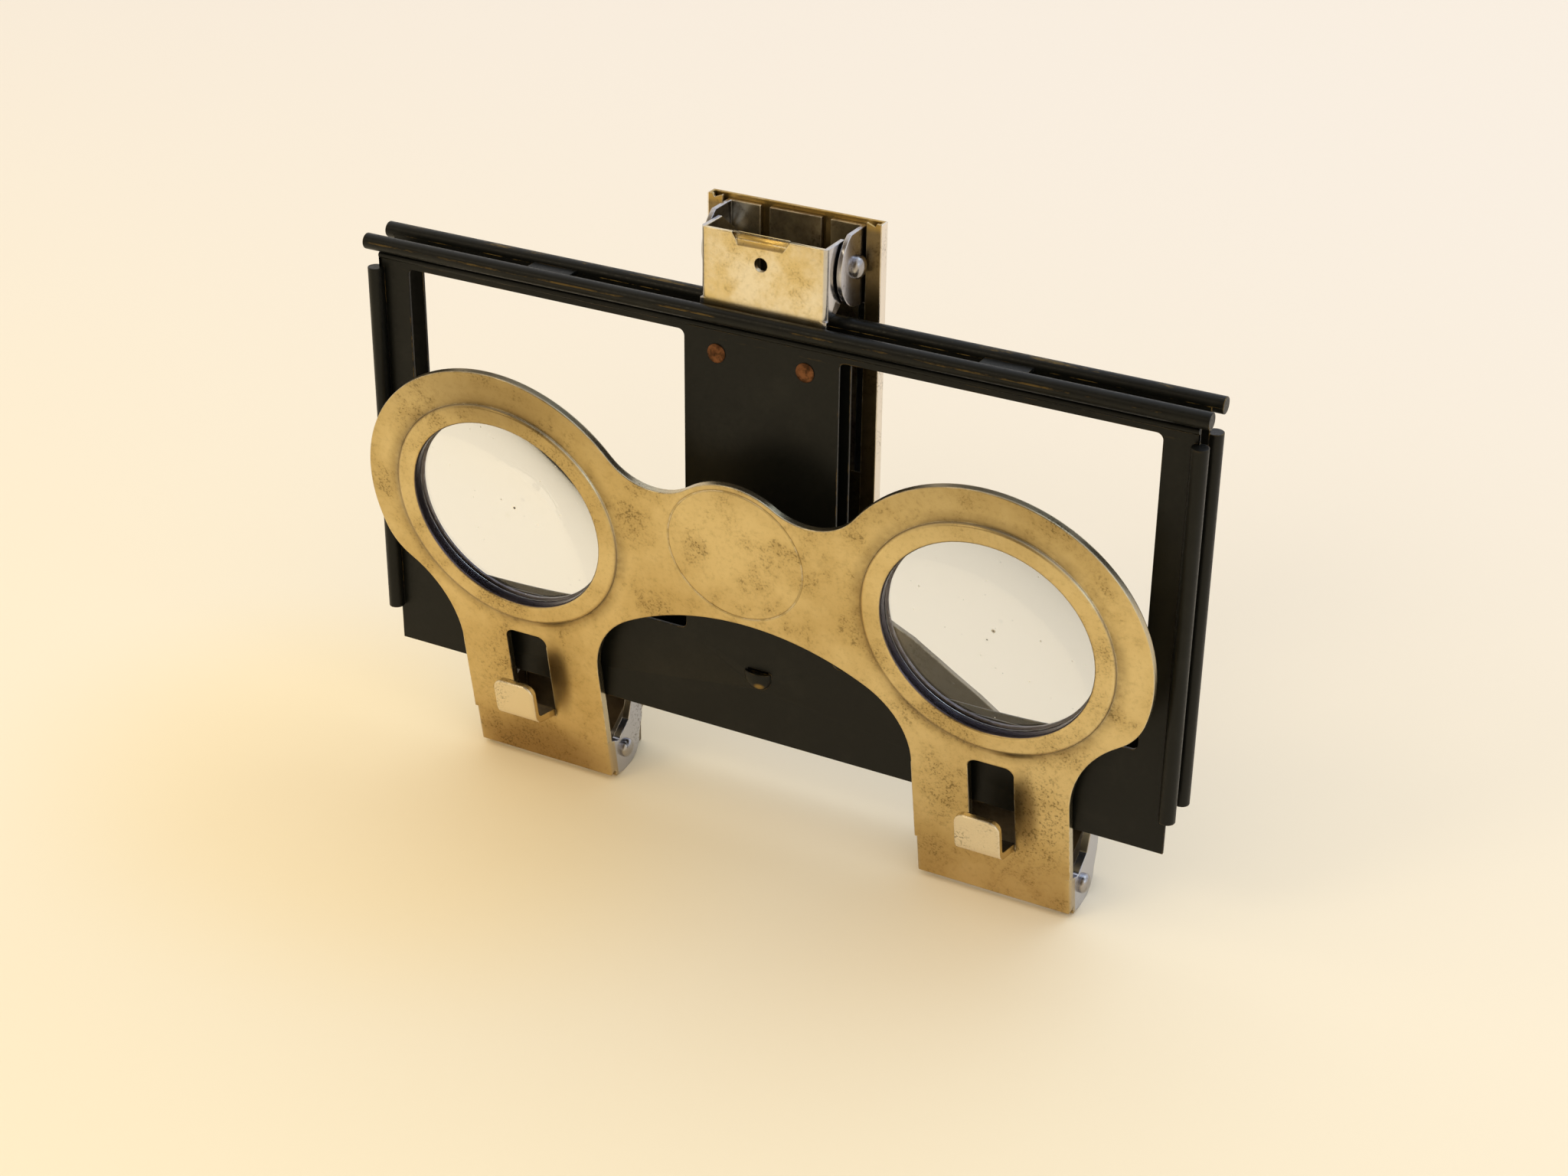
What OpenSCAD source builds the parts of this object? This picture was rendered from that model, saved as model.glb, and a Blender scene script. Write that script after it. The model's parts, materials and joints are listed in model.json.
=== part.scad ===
// Folding pocket stereoscope, folded and standing on its two feet.
// Frame: X to the right, Y to the back, Z up. The origin is the middle of the bounding box at floor level.
// Lengths in millimetres. The stand and the slide holder are laid out in a frame that leans back
// about the foot pins: y counts to the back from the pin axis, z counts up along the rail.

/* [Lens plate] */
// Distance between the two lens centres
eye_gap = 65; // [64.5:0.1:65.5]
// Radius of the lens openings
opening_r = 13.3; // [12.8:0.1:13.3]
// Radius of the round lobes of the plate
lobe_r = 20.3; // [20.1:0.1:20.5]
// Thickness of the plate
plate_t = 1.0; // [0.8:0.1:1.0]
// Width of the raised ring round each opening
ring_w = 2.7; // [2.2:0.1:2.8]
// Height of the raised ring
ring_h = 0.4; // [0.3:0.05:0.5]
// Radius of the middle bulge
bulge_r = 9.8; // [9.5:0.1:9.9]
// Height of the middle of the bulge over the lens centres
bulge_z = 2.8; // [2.6:0.1:3.0]
// Depth of the ring engraved on the bulge
engrave_d = 0.15; // [0.1:0.05:0.2]
// Radius of the crown of the nose arch
arch_r = 33.5; // [33:0.1:34]
// Depth of the crown of the nose arch below the lens centres
arch_z = 7.3; // [7.1:0.1:7.5]

/* [Legs] */
// Inner edge of each leg, from its lens centre
leg_inside = 10.5; // [10.4:0.05:10.6]
// Outer edge of each leg, from its lens centre
leg_outside = 10.0; // [9.9:0.05:10.1]
// Bottom edge of the plate below the lens centres
leg_z = 39.0; // [38.8:0.1:39.1]
// Half width of the leg windows
window_hw = 3.0; // [2.8:0.1:3.1]
// Height of the leg windows
window_h = 12.7; // [12.4:0.1:12.9]
// Height of the sheet left below the leg windows
window_sill = 8.0; // [7.8:0.1:8.2]
// Thickness of the hooks
hook_t = 0.9; // [0.8:0.05:0.95]
// Height of the upright face of the hooks
hook_h = 4.4; // [4:0.1:4.8]

/* [Foot hinge] */
// Foot pin axis behind the front face of the plate
pin_y = 3.8; // [3.75:0.05:3.9]
// Foot pin axis above the plate's bottom edge
pin_up = 2.6; // [2.5:0.1:2.7]
// Radius of the foot pins
pin_r = 0.8; // [0.7:0.05:0.85]
// Radius of the feet round the foot pins
foot_r = 3.1; // [3:0.05:3.15]
// Backward lean of the stand when folded, in degrees
lean = 9.6; // [9.3:0.1:9.8]
// Radial play of the turning and sliding fits
play = 0.05; // [0.03:0.01:0.08]

/* [Lenses] */
// Overlap of each lens behind the edge of its opening
lens_lap = 0.36; // [0.3:0.02:0.38]
// Wall of the lens cells
cell_wall = 0.72; // [0.68:0.02:0.76]
// Depth of the lens cells behind the plate
cell_depth = 1.75; // [1.7:0.05:1.8]
// Thickness of the lens edge
lens_edge = 1.0; // [0.9:0.05:1.05]
// Bulge of the front face of the lenses
lens_front = 0.8; // [0.6:0.1:0.9]
// Bulge of the back face of the lenses
lens_back = 1.4; // [1:0.1:1.5]

/* [Stand] */
// Half width of the rail
rail_hw = 11.4; // [11.3:0.05:11.5]
// Top end of the rail above the foot pins
rail_top = 76.8; // [76.6:0.1:76.8]
// Bottom end of the rail above the foot pins
rail_bot = 8.0; // [7.5:0.5:9]
// Front of the rail lips behind the foot pins
lip_y = 3.5; // [3.48:0.01:3.55]
// Sheet thickness of the rail
rail_t = 0.4; // [0.38:0.01:0.42]
// Width of the rail lips
lip_w = 2.0; // [1.8:0.1:2.1]
// Thickness of the base plate
base_t = 0.8; // [0.7:0.05:0.9]
// Height of the shoulder of the base plate
shoulder_z = 27.3; // [27:0.1:27.5]

/* [Carriage] */
// Sheet thickness of the carriage
car_t = 0.6; // [0.56:0.01:0.6]
// Recess of the carriage below the top of the rail
car_drop = 0.6; // [0.5:0.1:0.8]
// Length of the carriage in the rail
car_len = 31; // [30:0.5:32]
// Radius of the round noses of the carriage ears
nose_r = 5.0; // [4.9:0.05:5.05]
// Gap between the carriage ears and the lips of the rail
ear_gap = 0.3; // [0.25:0.01:0.32]
// Stop rivet below the top of the rail
stop_drop = 10.0; // [9.5:0.1:10.5]
// Travel of the carriage out of the rail
focus_travel = 20; // [18:0.5:20]

/* [Holder] */
// Half width of the slide holder sheets
sheet_hw = 53.6; // [53.4:0.1:53.7]
// Bottom edge of the slide holder above the foot pins
sheet_bot = 10.0; // [9.8:0.1:10.2]
// Sheet thickness of the slide holder
sheet_t = 0.4; // [0.35:0.01:0.42]
// Front face of the front sheet before the foot pins
front_y = 4.2; // [4.15:0.01:4.22]
// Gap for the slide between the two sheets
slide_gap = 2.6; // [2.55:0.05:2.6]
// Radius of the rolled edges
roll_r = 1.0; // [0.95:0.05:1.0]
// Inner edge of the picture windows
pic_in = 10.2; // [10:0.1:10.3]
// Width of the side bars of the sheets
side_bar = 4.1; // [4:0.1:4.2]
// Bottom edge of the picture windows above the foot pins
pic_bot = 22.8; // [22.6:0.1:23]
// Axis of the rolled top edges below the top of the rail
roll_drop = 11.4; // [11.3:0.1:11.5]
// Axis of the rolled top edges above the picture windows
top_bar = 2.9; // [2.8:0.1:3]
// Reach of the rolled top edges past the sheets
roll_reach = 1.4; // [1.3:0.1:1.5]
// Gap between the slide shelf and the picture windows
shelf_gap = 3.2; // [3.1:0.1:3.3]

/* [Holder bracket] */
// Sheet thickness of the bracket
brk_t = 0.6; // [0.55:0.05:0.6]
// Gap between the bracket and the carriage ears
brk_gap = 0.25; // [0.22:0.01:0.28]
// Recess of the bracket below the top of the rail
brk_drop = 1.3; // [1.2:0.1:1.4]
// Pivot axis behind the foot pins
piv_y = 2.0; // [1.95:0.01:2.02]
// Pivot axis below the top of the rail
piv_drop = 4.9; // [4.8:0.1:5]
// Radius of the pivot rivets
piv_r = 0.9; // [0.85:0.01:0.92]

/* [Hidden] */
ex = eye_gap / 2;
leg_in = ex - leg_inside;
leg_out = ex + leg_outside;
window_bot = leg_z - window_sill;
window_top = window_bot - window_h;
pin_z = leg_z - pin_up;
floor_z = pin_z + foot_r;
lens_r = opening_r + lens_lap;
cell_back = plate_t + cell_depth;
car_top = rail_top - car_drop;
ear_hw = rail_hw - lip_w - ear_gap;
piv_z = rail_top - piv_drop;
brk_top = rail_top - brk_drop;
brk_hw = ear_hw - car_t - brk_gap;
roll_top = rail_top - roll_drop;
pic_top = roll_top - top_bar;
pic_out = sheet_hw - side_bar;
rail_back = lip_y + rail_t + car_t + 2 * play + rail_t;
web_y = rail_back - rail_t;
hook_front = 4.35;
top_back_y = pin_y + rail_back * cos(lean) + rail_top * sin(lean);
y_mid = (top_back_y - hook_front) / 2;
sheet_back_y = front_y - sheet_t;
rear_y = -sheet_back_y + slide_gap;
fn = 64;

// Points on an arc about c, from angle a to angle b
function arc(c, r, a, b, n) = [for (i = [0:n]) c + r * [cos(a + (b - a) * i / n), sin(a + (b - a) * i / n)]];
// Point at distance r from c and at distance s from d; side picks one of the two
function meet(c, r, d, s, side) =
  let (v = d - c, l = norm(v), a = (r * r - s * s + l * l) / (2 * l), h = sqrt(r * r - a * a), u = v / l)
  c + a * u + side * h * [-u[1], u[0]];
// Direction from c to p, in degrees
function dir(c, p) = atan2(p[1] - c[1], p[0] - c[0]);
// The same points on the left, in reverse order
function mirrored(pts) = [for (i = [len(pts) - 1:-1:0]) [-pts[i][0], pts[i][1]]];

// Frame of the plate: origin midway between the lens centres on the front face
module plate_frame() {
  translate([0, -y_mid, floor_z])
    children();
}

// Frame of the stand: origin on the foot pin axis, leaning back
module stand_frame() {
  plate_frame()
    translate([0, pin_y, -pin_z])
      rotate([-lean, 0, 0])
        children();
}

// Sheet with its outline in x and z, from y0 to y0 + t
module upright(y0, t) {
  translate([0, y0 + t, 0])
    rotate([90, 0, 0])
      linear_extrude(height = t)
        children();
}

// Prism with its outline in y and z, from x0 to x0 + w
module sideways(x0, w) {
  translate([x0, 0, 0])
    rotate([90, 0, 90])
      linear_extrude(height = w)
        children();
}

// Bar with its outline in x and y, from z0 to z0 + h
module bar_up(z0, h) {
  translate([0, 0, z0])
    linear_extrude(height = h)
      children();
}

// Solid of revolution about an axis along Y, profile in radius and y
module turned_y(x, z) {
  translate([x, 0, z])
    rotate([-90, 0, 0])
      rotate_extrude($fn = fn)
        children();
}

// Rod along X
module rod_x(x0, w, y, z, r) {
  translate([x0, y, z])
    rotate([0, 90, 0])
      cylinder(h = w, r = r, $fn = 32);
}

// Rectangle with rounded corners
module round_rect(x0, x1, z0, z1, r) {
  polygon(concat(
    arc([x1 - r, z0 + r], r, -90, 0, 6),
    arc([x1 - r, z1 - r], r, 0, 90, 6),
    arc([x0 + r, z1 - r], r, 90, 180, 6),
    arc([x0 + r, z0 + r], r, 180, 270, 6)));
}

// Domed rivet head with its base at the origin, rising along Z
module dome(r, h) {
  rotate_extrude($fn = 32)
    polygon(concat([[0, 0], [r, 0]],
      [for (i = [0:8]) [r * cos(i * 90 / 8), h * 0.25 + h * 0.75 * sin(i * 90 / 8)]]));
}

/* Outline of the plate, right half, from the crown of the bulge clockwise to the arch */
bulge_c = [0, bulge_z];
lobe_c = [ex, 0];
valley_r = 7.8;
valley_c = meet(bulge_c, bulge_r + valley_r, lobe_c, lobe_r + valley_r, 1);
neck_r = 14;
neck_c = [leg_out + neck_r, -22.1];
hip_r = 8;
hip_c = meet(lobe_c, lobe_r - hip_r, neck_c, neck_r + hip_r, 1);
arch_c = [0, -arch_z - arch_r];
shoulder_r = 11;
shoulder_c = [leg_in - shoulder_r, arch_c[1] + sqrt(pow(arch_r - shoulder_r, 2) - pow(leg_in - shoulder_r, 2))];
half_plate = concat(
  arc(bulge_c, bulge_r, 90, dir(bulge_c, valley_c), 16),
  arc(valley_c, valley_r, dir(valley_c, bulge_c) + 360, dir(valley_c, lobe_c) + 360, 14),
  arc(lobe_c, lobe_r, dir(lobe_c, valley_c), dir(lobe_c, hip_c), 60),
  arc(hip_c, hip_r, dir(hip_c, lobe_c) - 180, dir(hip_c, neck_c), 8),
  arc(neck_c, neck_r, dir(neck_c, hip_c), 180, 12),
  arc([leg_out - 1.5, -leg_z + 1.5], 1.5, 0, -90, 6),
  arc([leg_in + 1.5, -leg_z + 1.5], 1.5, 270, 180, 6),
  arc(shoulder_c, shoulder_r, 0, dir(arch_c, shoulder_c), 12),
  arc(arch_c, arch_r, dir(arch_c, shoulder_c), 90, 16));

/* Side of a foot, in y and z about the foot pin */
gap_z = 3.4;
bend_r = 0.7;
corner_r = 1.2;
foot_side = concat(
  [[-pin_y, gap_z + 0.3], [-pin_y + plate_t, gap_z + 0.3], [-pin_y + plate_t, gap_z - 0.4]],
  arc([-pin_y + plate_t + 1.5, gap_z - 0.4], 0.8, 220, 320, 6),
  [[1.5, gap_z + 0.2]],
  arc([3.5, 5.6], 0.85, 145, -15, 8),
  [[4.9, 3.4], [4.5, 1.8]],
  arc([0.4, 0], foot_r, -6, -90, 10),
  arc([-0.6, 0], foot_r, -90, -112, 3),
  [[-pin_y + 0.6, -leg_z + pin_z], [-pin_y, -leg_z + pin_z + 0.6]]);

// Waste outside a rounded lower corner of a leg, on the left for side -1 and on the right for side 1
module corner_waste(x, side) {
  translate([x, -leg_z])
    scale([side, 1])
      polygon(concat(
        arc([-corner_r, corner_r], corner_r, 270, 360, 6),
        [[1, corner_r], [1, -1], [-corner_r, -1]]));
}

// One foot: the leg's bend with the two ears, cut to the side outline
module foot(x0, x1) {
  difference() {
    intersection() {
      translate([0, pin_y, -pin_z])
        sideways(x0, x1 - x0)
          polygon(foot_side);
      bar_up(-leg_z - 2, 12)
        difference() {
          translate([x0, 0])
            polygon(concat(
              arc([bend_r, bend_r], bend_r, 180, 270, 6),
              arc([x1 - x0 - bend_r, bend_r], bend_r, 270, 360, 6),
              [[x1 - x0, 12], [0, 12]]));
          translate([x0 + plate_t, plate_t])
            square([x1 - x0 - 2 * plate_t, 12]);
        }
    }
    rod_x(x0 - 1, x1 - x0 + 2, pin_y, -pin_z, pin_r + 0.01);
    // rounded lower corners of the front
    upright(-1, plate_t + 1) {
      corner_waste(x0, -1);
      corner_waste(x1, 1);
    }
  }
}

/* Side of a hook, in y and z: out of the window's lower edge, forward and up */
hook_m = hook_t / 2;
hook_bend = 1.35;
hook_lean = 70;
hook_y0 = plate_t / 2;
hook_z0 = -window_bot - 0.2;
hook_c1 = [hook_y0 - hook_bend, hook_z0];
hook_p1 = hook_c1 + hook_bend * [cos(hook_lean), sin(hook_lean)];
hook_run = (hook_y0 + hook_front - hook_m - 2 * hook_bend * (1 - cos(hook_lean))) / sin(hook_lean);
hook_p2 = hook_p1 + hook_run * [-sin(hook_lean), cos(hook_lean)];
hook_c2 = hook_p2 + hook_bend * [cos(hook_lean), sin(hook_lean)];
hook_top = hook_c2[1] + hook_h;
hook_root = 1.2;
hook_side = concat(
  [[hook_y0 - hook_m, hook_z0 - hook_root], [hook_y0 + hook_m, hook_z0 - hook_root]],
  arc(hook_c1, hook_bend + hook_m, 0, hook_lean, 8),
  arc(hook_c2, hook_bend - hook_m, 180 + hook_lean, 180, 8),
  [[-hook_front + hook_t, hook_top], [-hook_front, hook_top]],
  arc(hook_c2, hook_bend + hook_m, 180, 180 + hook_lean, 8),
  arc(hook_c1, hook_bend - hook_m, hook_lean, 0, 8));

// One hook, its top corners rounded
module hook(x) {
  w = window_hw - 0.05;
  intersection() {
    sideways(x - w, 2 * w)
      polygon(hook_side);
    upright(-6, 12)
      round_rect(x - w, x + w, hook_z0 - 4, hook_top, 1.4);
  }
}

// Raised ring pressed round a lens opening
module raised_ring(x) {
  turned_y(x, 0)
    polygon(concat(
      [[opening_r, 0.1]],
      arc([opening_r + ring_h, 0], ring_h, 180, 270, 5),
      arc([opening_r + ring_w - ring_h * 1.2, 0], ring_h, 270, 360, 5),
      [[opening_r + ring_w, 0.1]]));
}

// The lens plate, one pressed sheet with raised rings, hooks and feet
module lens_plate() {
  color("#b3a077")
    plate_frame() {
      difference() {
        union() {
          difference() {
            upright(0, plate_t)
              polygon(concat(half_plate, mirrored(half_plate)));
            // corners of the legs, where the feet are bent back
            for (s = [-1, 1])
              translate([s * (leg_in + leg_out) / 2 - 12, -1, -leg_z - 1])
                cube([24, 4, leg_z + 1 - pin_z + gap_z]);
          }
          for (s = [-1, 1]) {
            foot(s > 0 ? leg_in : -leg_out, s > 0 ? leg_out : -leg_in);
            raised_ring(s * ex);
          }
        }
        for (s = [-1, 1]) {
          translate([s * ex, -3, 0])
            rotate([-90, 0, 0])
              cylinder(h = 6, r = opening_r, $fn = 96);
          upright(-3, 5)
            round_rect(s * ex - window_hw, s * ex + window_hw, -window_bot, -window_top, 1.2);
        }
        turned_y(0, bulge_z)
          translate([bulge_r - 0.75, 0])
            polygon([[-0.2, -0.1], [0, engrave_d], [0.2, -0.1]]);
      }
      for (s = [-1, 1])
        hook(s * ex);
    }
}

// A lens, curved more at the back
module lens(x) {
  rf = (lens_r * lens_r + lens_front * lens_front) / (2 * lens_front);
  rb = (lens_r * lens_r + lens_back * lens_back) / (2 * lens_back);
  af = asin(lens_r / rf);
  ab = asin(lens_r / rb);
  flat = opening_r - 0.1;
  flat_y = plate_t;
  color("#dfe6ea", 0.4)
    plate_frame()
      turned_y(x, 0)
        polygon(concat(
          [for (i = [0:10]) let (r = flat * i / 10) [r, flat_y - lens_front + rf - sqrt(rf * rf - r * r)]],
          [[flat, flat_y], [lens_r, flat_y]],
          [for (i = [10:-1:0]) let (r = lens_r * i / 10) [r, flat_y + lens_edge + lens_back - rb + sqrt(rb * rb - r * r)]]));
}

// Turned cell behind the plate that holds a lens
module lens_cell(x) {
  color("#4c4650")
    plate_frame()
      turned_y(x, 0)
        polygon([[lens_r + 0.02, plate_t], [lens_r + 0.02 + cell_wall, plate_t], [lens_r + 0.02 + cell_wall, cell_back - 0.15],
          [lens_r + cell_wall - 0.13, cell_back], [lens_r + 0.02, cell_back]]);
}

// Ring that keeps a lens in its cell
module lens_ring(x) {
  y0 = plate_t + lens_edge;
  color("#3a363c")
    plate_frame()
      turned_y(x, 0)
        polygon([[lens_r - 0.6, y0 + 0.14], [lens_r, y0], [lens_r, y0 + 0.6], [lens_r - 0.6, y0 + 0.6]]);
}

// Foot pin with its head on the right and its peened end on the left
module foot_pin(x0, x1) {
  color("#a9a9b2")
    plate_frame() {
      rod_x(x0, x1 - x0, pin_y, -pin_z, pin_r);
      translate([x1, pin_y, -pin_z])
        rotate([0, 90, 0])
          dome(1.25, 0.95);
      translate([x0, pin_y, -pin_z])
        rotate([0, -90, 0])
          dome(1.05, 0.45);
    }
}

/* Outline of the base plate, right half, in x and z of the stand frame */
ear_in = leg_in + plate_t + 0.1;
ear_out = leg_out - plate_t - 0.1;
heel_z = -(foot_r - (rail_back + base_t) * sin(lean)) / cos(lean);
// Upper edge of the fan: in from its outer end and down from its shoulder
fan_edge = [[27.4, -0.3], [24.6, 0], [22, 1.0], [19.2, 2.6], [14.7, 5.4], [10.8, 8.4], [5.4, 12.5]];
half_base = concat(
  [[0, shoulder_z + 0.4], [rail_hw + 0.4, shoulder_z + 0.4]],
  [for (p = fan_edge) [ear_out - p[0], shoulder_z - p[1]]],
  arc([ear_out - 2.6, 9.4], 2.6, 52, 0, 5),
  [[ear_out, heel_z], [ear_in, heel_z], [ear_in, 1.5]],
  arc([ear_in - 4, 1.5], 4, 0, 90, 8),
  [[0, 5.5]]);

/* Side of a base ear, in y and z about the foot pin */
ear_side = concat(
  arc([0, 0], 2.4, 90, 270, 12),
  [[rail_back + base_t, heel_z], [rail_back + base_t, 5.2], [rail_back - 1, 5.2]]);

// Fan-shaped base plate with two ears on each foot pin
module base_plate() {
  color("#8d7f70")
    stand_frame()
      difference() {
        union() {
          upright(rail_back, base_t)
            polygon(concat(half_base, mirrored(half_base)));
          for (x = [ear_in, ear_out - base_t, -ear_in - base_t, -ear_out])
            sideways(x, base_t)
              polygon(ear_side);
        }
        for (s = [-1, 1])
          rod_x(s > 0 ? ear_in - 1 : -ear_out - 1, ear_out - ear_in + 2, 0, 0, pin_r + play);
        // holes for the rail rivets
        for (p = rail_rivet_at)
          translate([p[0], rail_back - 1, p[1]])
            rotate([-90, 0, 0])
              cylinder(h = 3, r = rail_rivet_r + 0.01, $fn = 24);
      }
}

rail_rivet_r = 0.9;
rail_rivet_at = [[-6, rail_bot + 3.5], [6, rail_bot + 3.5], [-6, rail_bot + 16], [6, rail_bot + 16]];
stop_z = rail_top - stop_drop;

// Channel rail with two lips
module rail() {
  color("#9c8659")
    stand_frame()
      difference() {
        bar_up(rail_bot, rail_top - rail_bot)
          difference() {
            translate([-rail_hw, lip_y])
              square([2 * rail_hw, rail_back - lip_y]);
            translate([-rail_hw + rail_t, lip_y + rail_t])
              square([2 * (rail_hw - rail_t), web_y - lip_y - rail_t]);
            translate([-rail_hw + lip_w, lip_y - 1])
              square([2 * (rail_hw - lip_w), 2]);
          }
        // ends of the lips, cut at a slant
        for (s = [-1, 1])
          translate([s * (rail_hw - lip_w), lip_y - 1, rail_top])
            rotate([0, s * 22, 0])
              translate([-1.2, 0, 0])
                cube([2.4, 1 + rail_t + 0.05, 1]);
        for (p = rail_rivet_at)
          translate([p[0], web_y - 1, p[1]])
            rotate([-90, 0, 0])
              cylinder(h = 3, r = rail_rivet_r + 0.01, $fn = 24);
        translate([0, web_y - 1, stop_z])
          rotate([-90, 0, 0])
            cylinder(h = 3, r = 0.61, $fn = 24);
      }
}

// Four flat rivets that join the rail to the base plate
module rail_rivets() {
  color("#8a7a55")
    stand_frame()
      for (p = rail_rivet_at)
        translate([p[0], 0, p[1]])
          rotate([-90, 0, 0]) {
            translate([0, 0, web_y])
              cylinder(h = rail_t + base_t, r = rail_rivet_r, $fn = 24);
            translate([0, 0, web_y - 0.4])
              cylinder(h = 0.4, r = rail_rivet_r + 0.6, $fn = 24);
            translate([0, 0, rail_back + base_t])
              dome(rail_rivet_r + 0.6, 0.5);
          }
}

// Rivet in the rail's wall that stops the carriage
module stop_rivet() {
  color("#8a7a55")
    stand_frame()
      translate([0, 0, stop_z])
        rotate([-90, 0, 0]) {
          translate([0, 0, web_y - car_t])
            cylinder(h = car_t + rail_t, r = 0.6, $fn = 24);
          translate([0, 0, rail_back])
            dome(1.0, 0.3);
        }
}

// Sliding carriage: plate with a slit tongue, a slot and two round-nosed ears
car_y = lip_y + rail_t + play;
car_bot = car_top - car_len;
car_hw = rail_hw - rail_t - 0.15;
neck_z = piv_z - nose_r - 0.8;
nose_y = 3.0;
nose_cut = 180 - asin((car_top - piv_z) / nose_r);
module carriage() {
  color("#a89468")
    stand_frame() {
      difference() {
        upright(car_y, car_t)
          polygon([[-car_hw, car_bot], [car_hw, car_bot], [car_hw, neck_z], [ear_hw, neck_z + 0.8],
            [ear_hw, car_top], [-ear_hw, car_top], [-ear_hw, neck_z + 0.8], [-car_hw, neck_z]]);
        // slits beside the tongue
        for (s = [-1, 1])
          upright(car_y - 1, 3)
            round_rect(s * 4 - 0.6, s * 4 + 0.6, car_top - 14, car_top + 2, 0.55);
        // slot for the stop rivet
        upright(car_y - 1, 3)
          round_rect(-0.72, 0.72, stop_z - focus_travel - 0.62, stop_z + 0.72, 0.7);
      }
      difference() {
        for (s = [-1, 1])
          sideways(s > 0 ? ear_hw - car_t : -ear_hw, car_t)
            polygon(concat(
              arc([nose_y, piv_z], nose_r, nose_cut, 270, 24),
              [[car_y + car_t, piv_z - nose_r], [car_y + car_t, car_top]]));
        rod_x(-ear_hw - 1, 2 * ear_hw + 2, piv_y, piv_z, piv_r + 0.01);
      }
    }
}

// Pivot rivet through a carriage ear, a washer and a bracket wing
module pivot_rivet(s) {
  color("#b9b9c2")
    stand_frame()
      translate([0, piv_y, piv_z])
        rotate([0, s * 90, 0]) {
          translate([0, 0, brk_hw - brk_t - 0.35])
            cylinder(h = ear_hw - brk_hw + brk_t + 0.35, r = piv_r, $fn = 32);
          translate([0, 0, ear_hw])
            dome(piv_r + 0.5, 1.0);
          translate([0, 0, brk_hw - brk_t - 0.45])
            cylinder(h = 0.4, r = piv_r + 0.5, $fn = 32);
        }
}

// Thin washer between a carriage ear and a bracket wing
module pivot_washer(s) {
  w0 = brk_hw + 0.02;
  w1 = ear_hw - car_t;
  color("#8f8152")
    stand_frame()
      translate([0, piv_y, piv_z])
        rotate([0, s * 90, 0])
          translate([0, 0, w0])
            difference() {
              cylinder(h = w1 - w0, r = piv_r + 0.8, $fn = 32);
              translate([0, 0, -1])
                cylinder(h = 3, r = piv_r + 0.01, $fn = 32);
            }
}

rivet_at = [brk_hw - 2.4, roll_top - 5];
rivet_r = 0.9;
worn_h = 1.35;
brk_front = -sheet_back_y;
brk_fold = roll_top + 1.5;
brk_bot = roll_top - 8.1;
wing_r = 1.85;

/* Side of a bracket wing, in y and z of the stand frame */
wing_side = concat(
  [[brk_front + 0.3, brk_fold], [brk_front + 0.3, brk_top], [brk_front + 4.2, brk_top]],
  arc([piv_y, piv_z], wing_r, 62, -70, 12),
  [[piv_y - 0.6, piv_z - 3], [brk_front + 2.2, brk_fold]]);

// U-shaped bracket of the slide holder, riveted behind the front sheet
module holder_bracket() {
  color("#c2ab7c")
    stand_frame() {
      difference() {
        union() {
          upright(brk_front, brk_t)
            polygon([[-brk_hw + 0.5, brk_bot], [brk_hw - 0.5, brk_bot], [brk_hw, brk_bot + 0.5], [brk_hw, brk_fold],
              [-brk_hw, brk_fold], [-brk_hw, brk_bot + 0.5]]);
          bar_up(brk_fold, brk_top - brk_fold)
            difference() {
              polygon(concat(
                arc([brk_hw - 0.8, brk_front + 0.8], 0.8, 0, -90, 5),
                arc([-brk_hw + 0.8, brk_front + 0.8], 0.8, 270, 180, 5),
                [[-brk_hw, brk_front + 0.9], [brk_hw, brk_front + 0.9]]));
              translate([-brk_hw + brk_t, brk_front + brk_t])
                square([2 * (brk_hw - brk_t), 2]);
            }
          for (s = [-1, 1])
            intersection() {
              sideways(s > 0 ? brk_hw - brk_t : -brk_hw, brk_t)
                polygon(wing_side);
              translate([-brk_hw - 1, brk_front + 0.85, brk_bot])
                cube([2 * brk_hw + 2, 20, brk_top - brk_bot + 1]);
            }
        }
        // small hole under the top edge
        translate([-0.25, brk_front - 1, brk_top - 3.3])
          rotate([-90, 0, 0])
            cylinder(h = 3, r = 0.85, $fn = 24);
        for (s = [-1, 1])
          translate([s * rivet_at[0], brk_front - 1, rivet_at[1]])
            rotate([-90, 0, 0])
              cylinder(h = 3, r = rivet_r + 0.01, $fn = 24);
        rod_x(-brk_hw - 1, 2 * brk_hw + 2, piv_y, piv_z, piv_r + play);
        // worn middle of the top edge
        intersection() {
          sideways(-4.5, 9)
            polygon([[brk_front - 0.1, brk_top - worn_h], [brk_front, brk_top - worn_h], [brk_front + 0.62, brk_top + 0.1], [brk_front - 0.1, brk_top + 0.1]]);
          upright(brk_front - 1, 3)
            polygon([[-4.2, brk_top + 0.2], [-3.2, brk_top - worn_h - 0.1], [2.6, brk_top - worn_h - 0.1], [3.5, brk_top + 0.2]]);
        }
      }
      // lip bent back at the worn middle
      sideways(-3.6, 6.7)
        polygon([[brk_front + 0.25, brk_top - 0.75], [brk_front + 0.55, brk_top - 1.35], [brk_front + 1.2, brk_top - 0.3],
          [brk_front + 0.85, brk_top], [brk_front + 0.5, brk_top - 0.15]]);
    }
}

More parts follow.
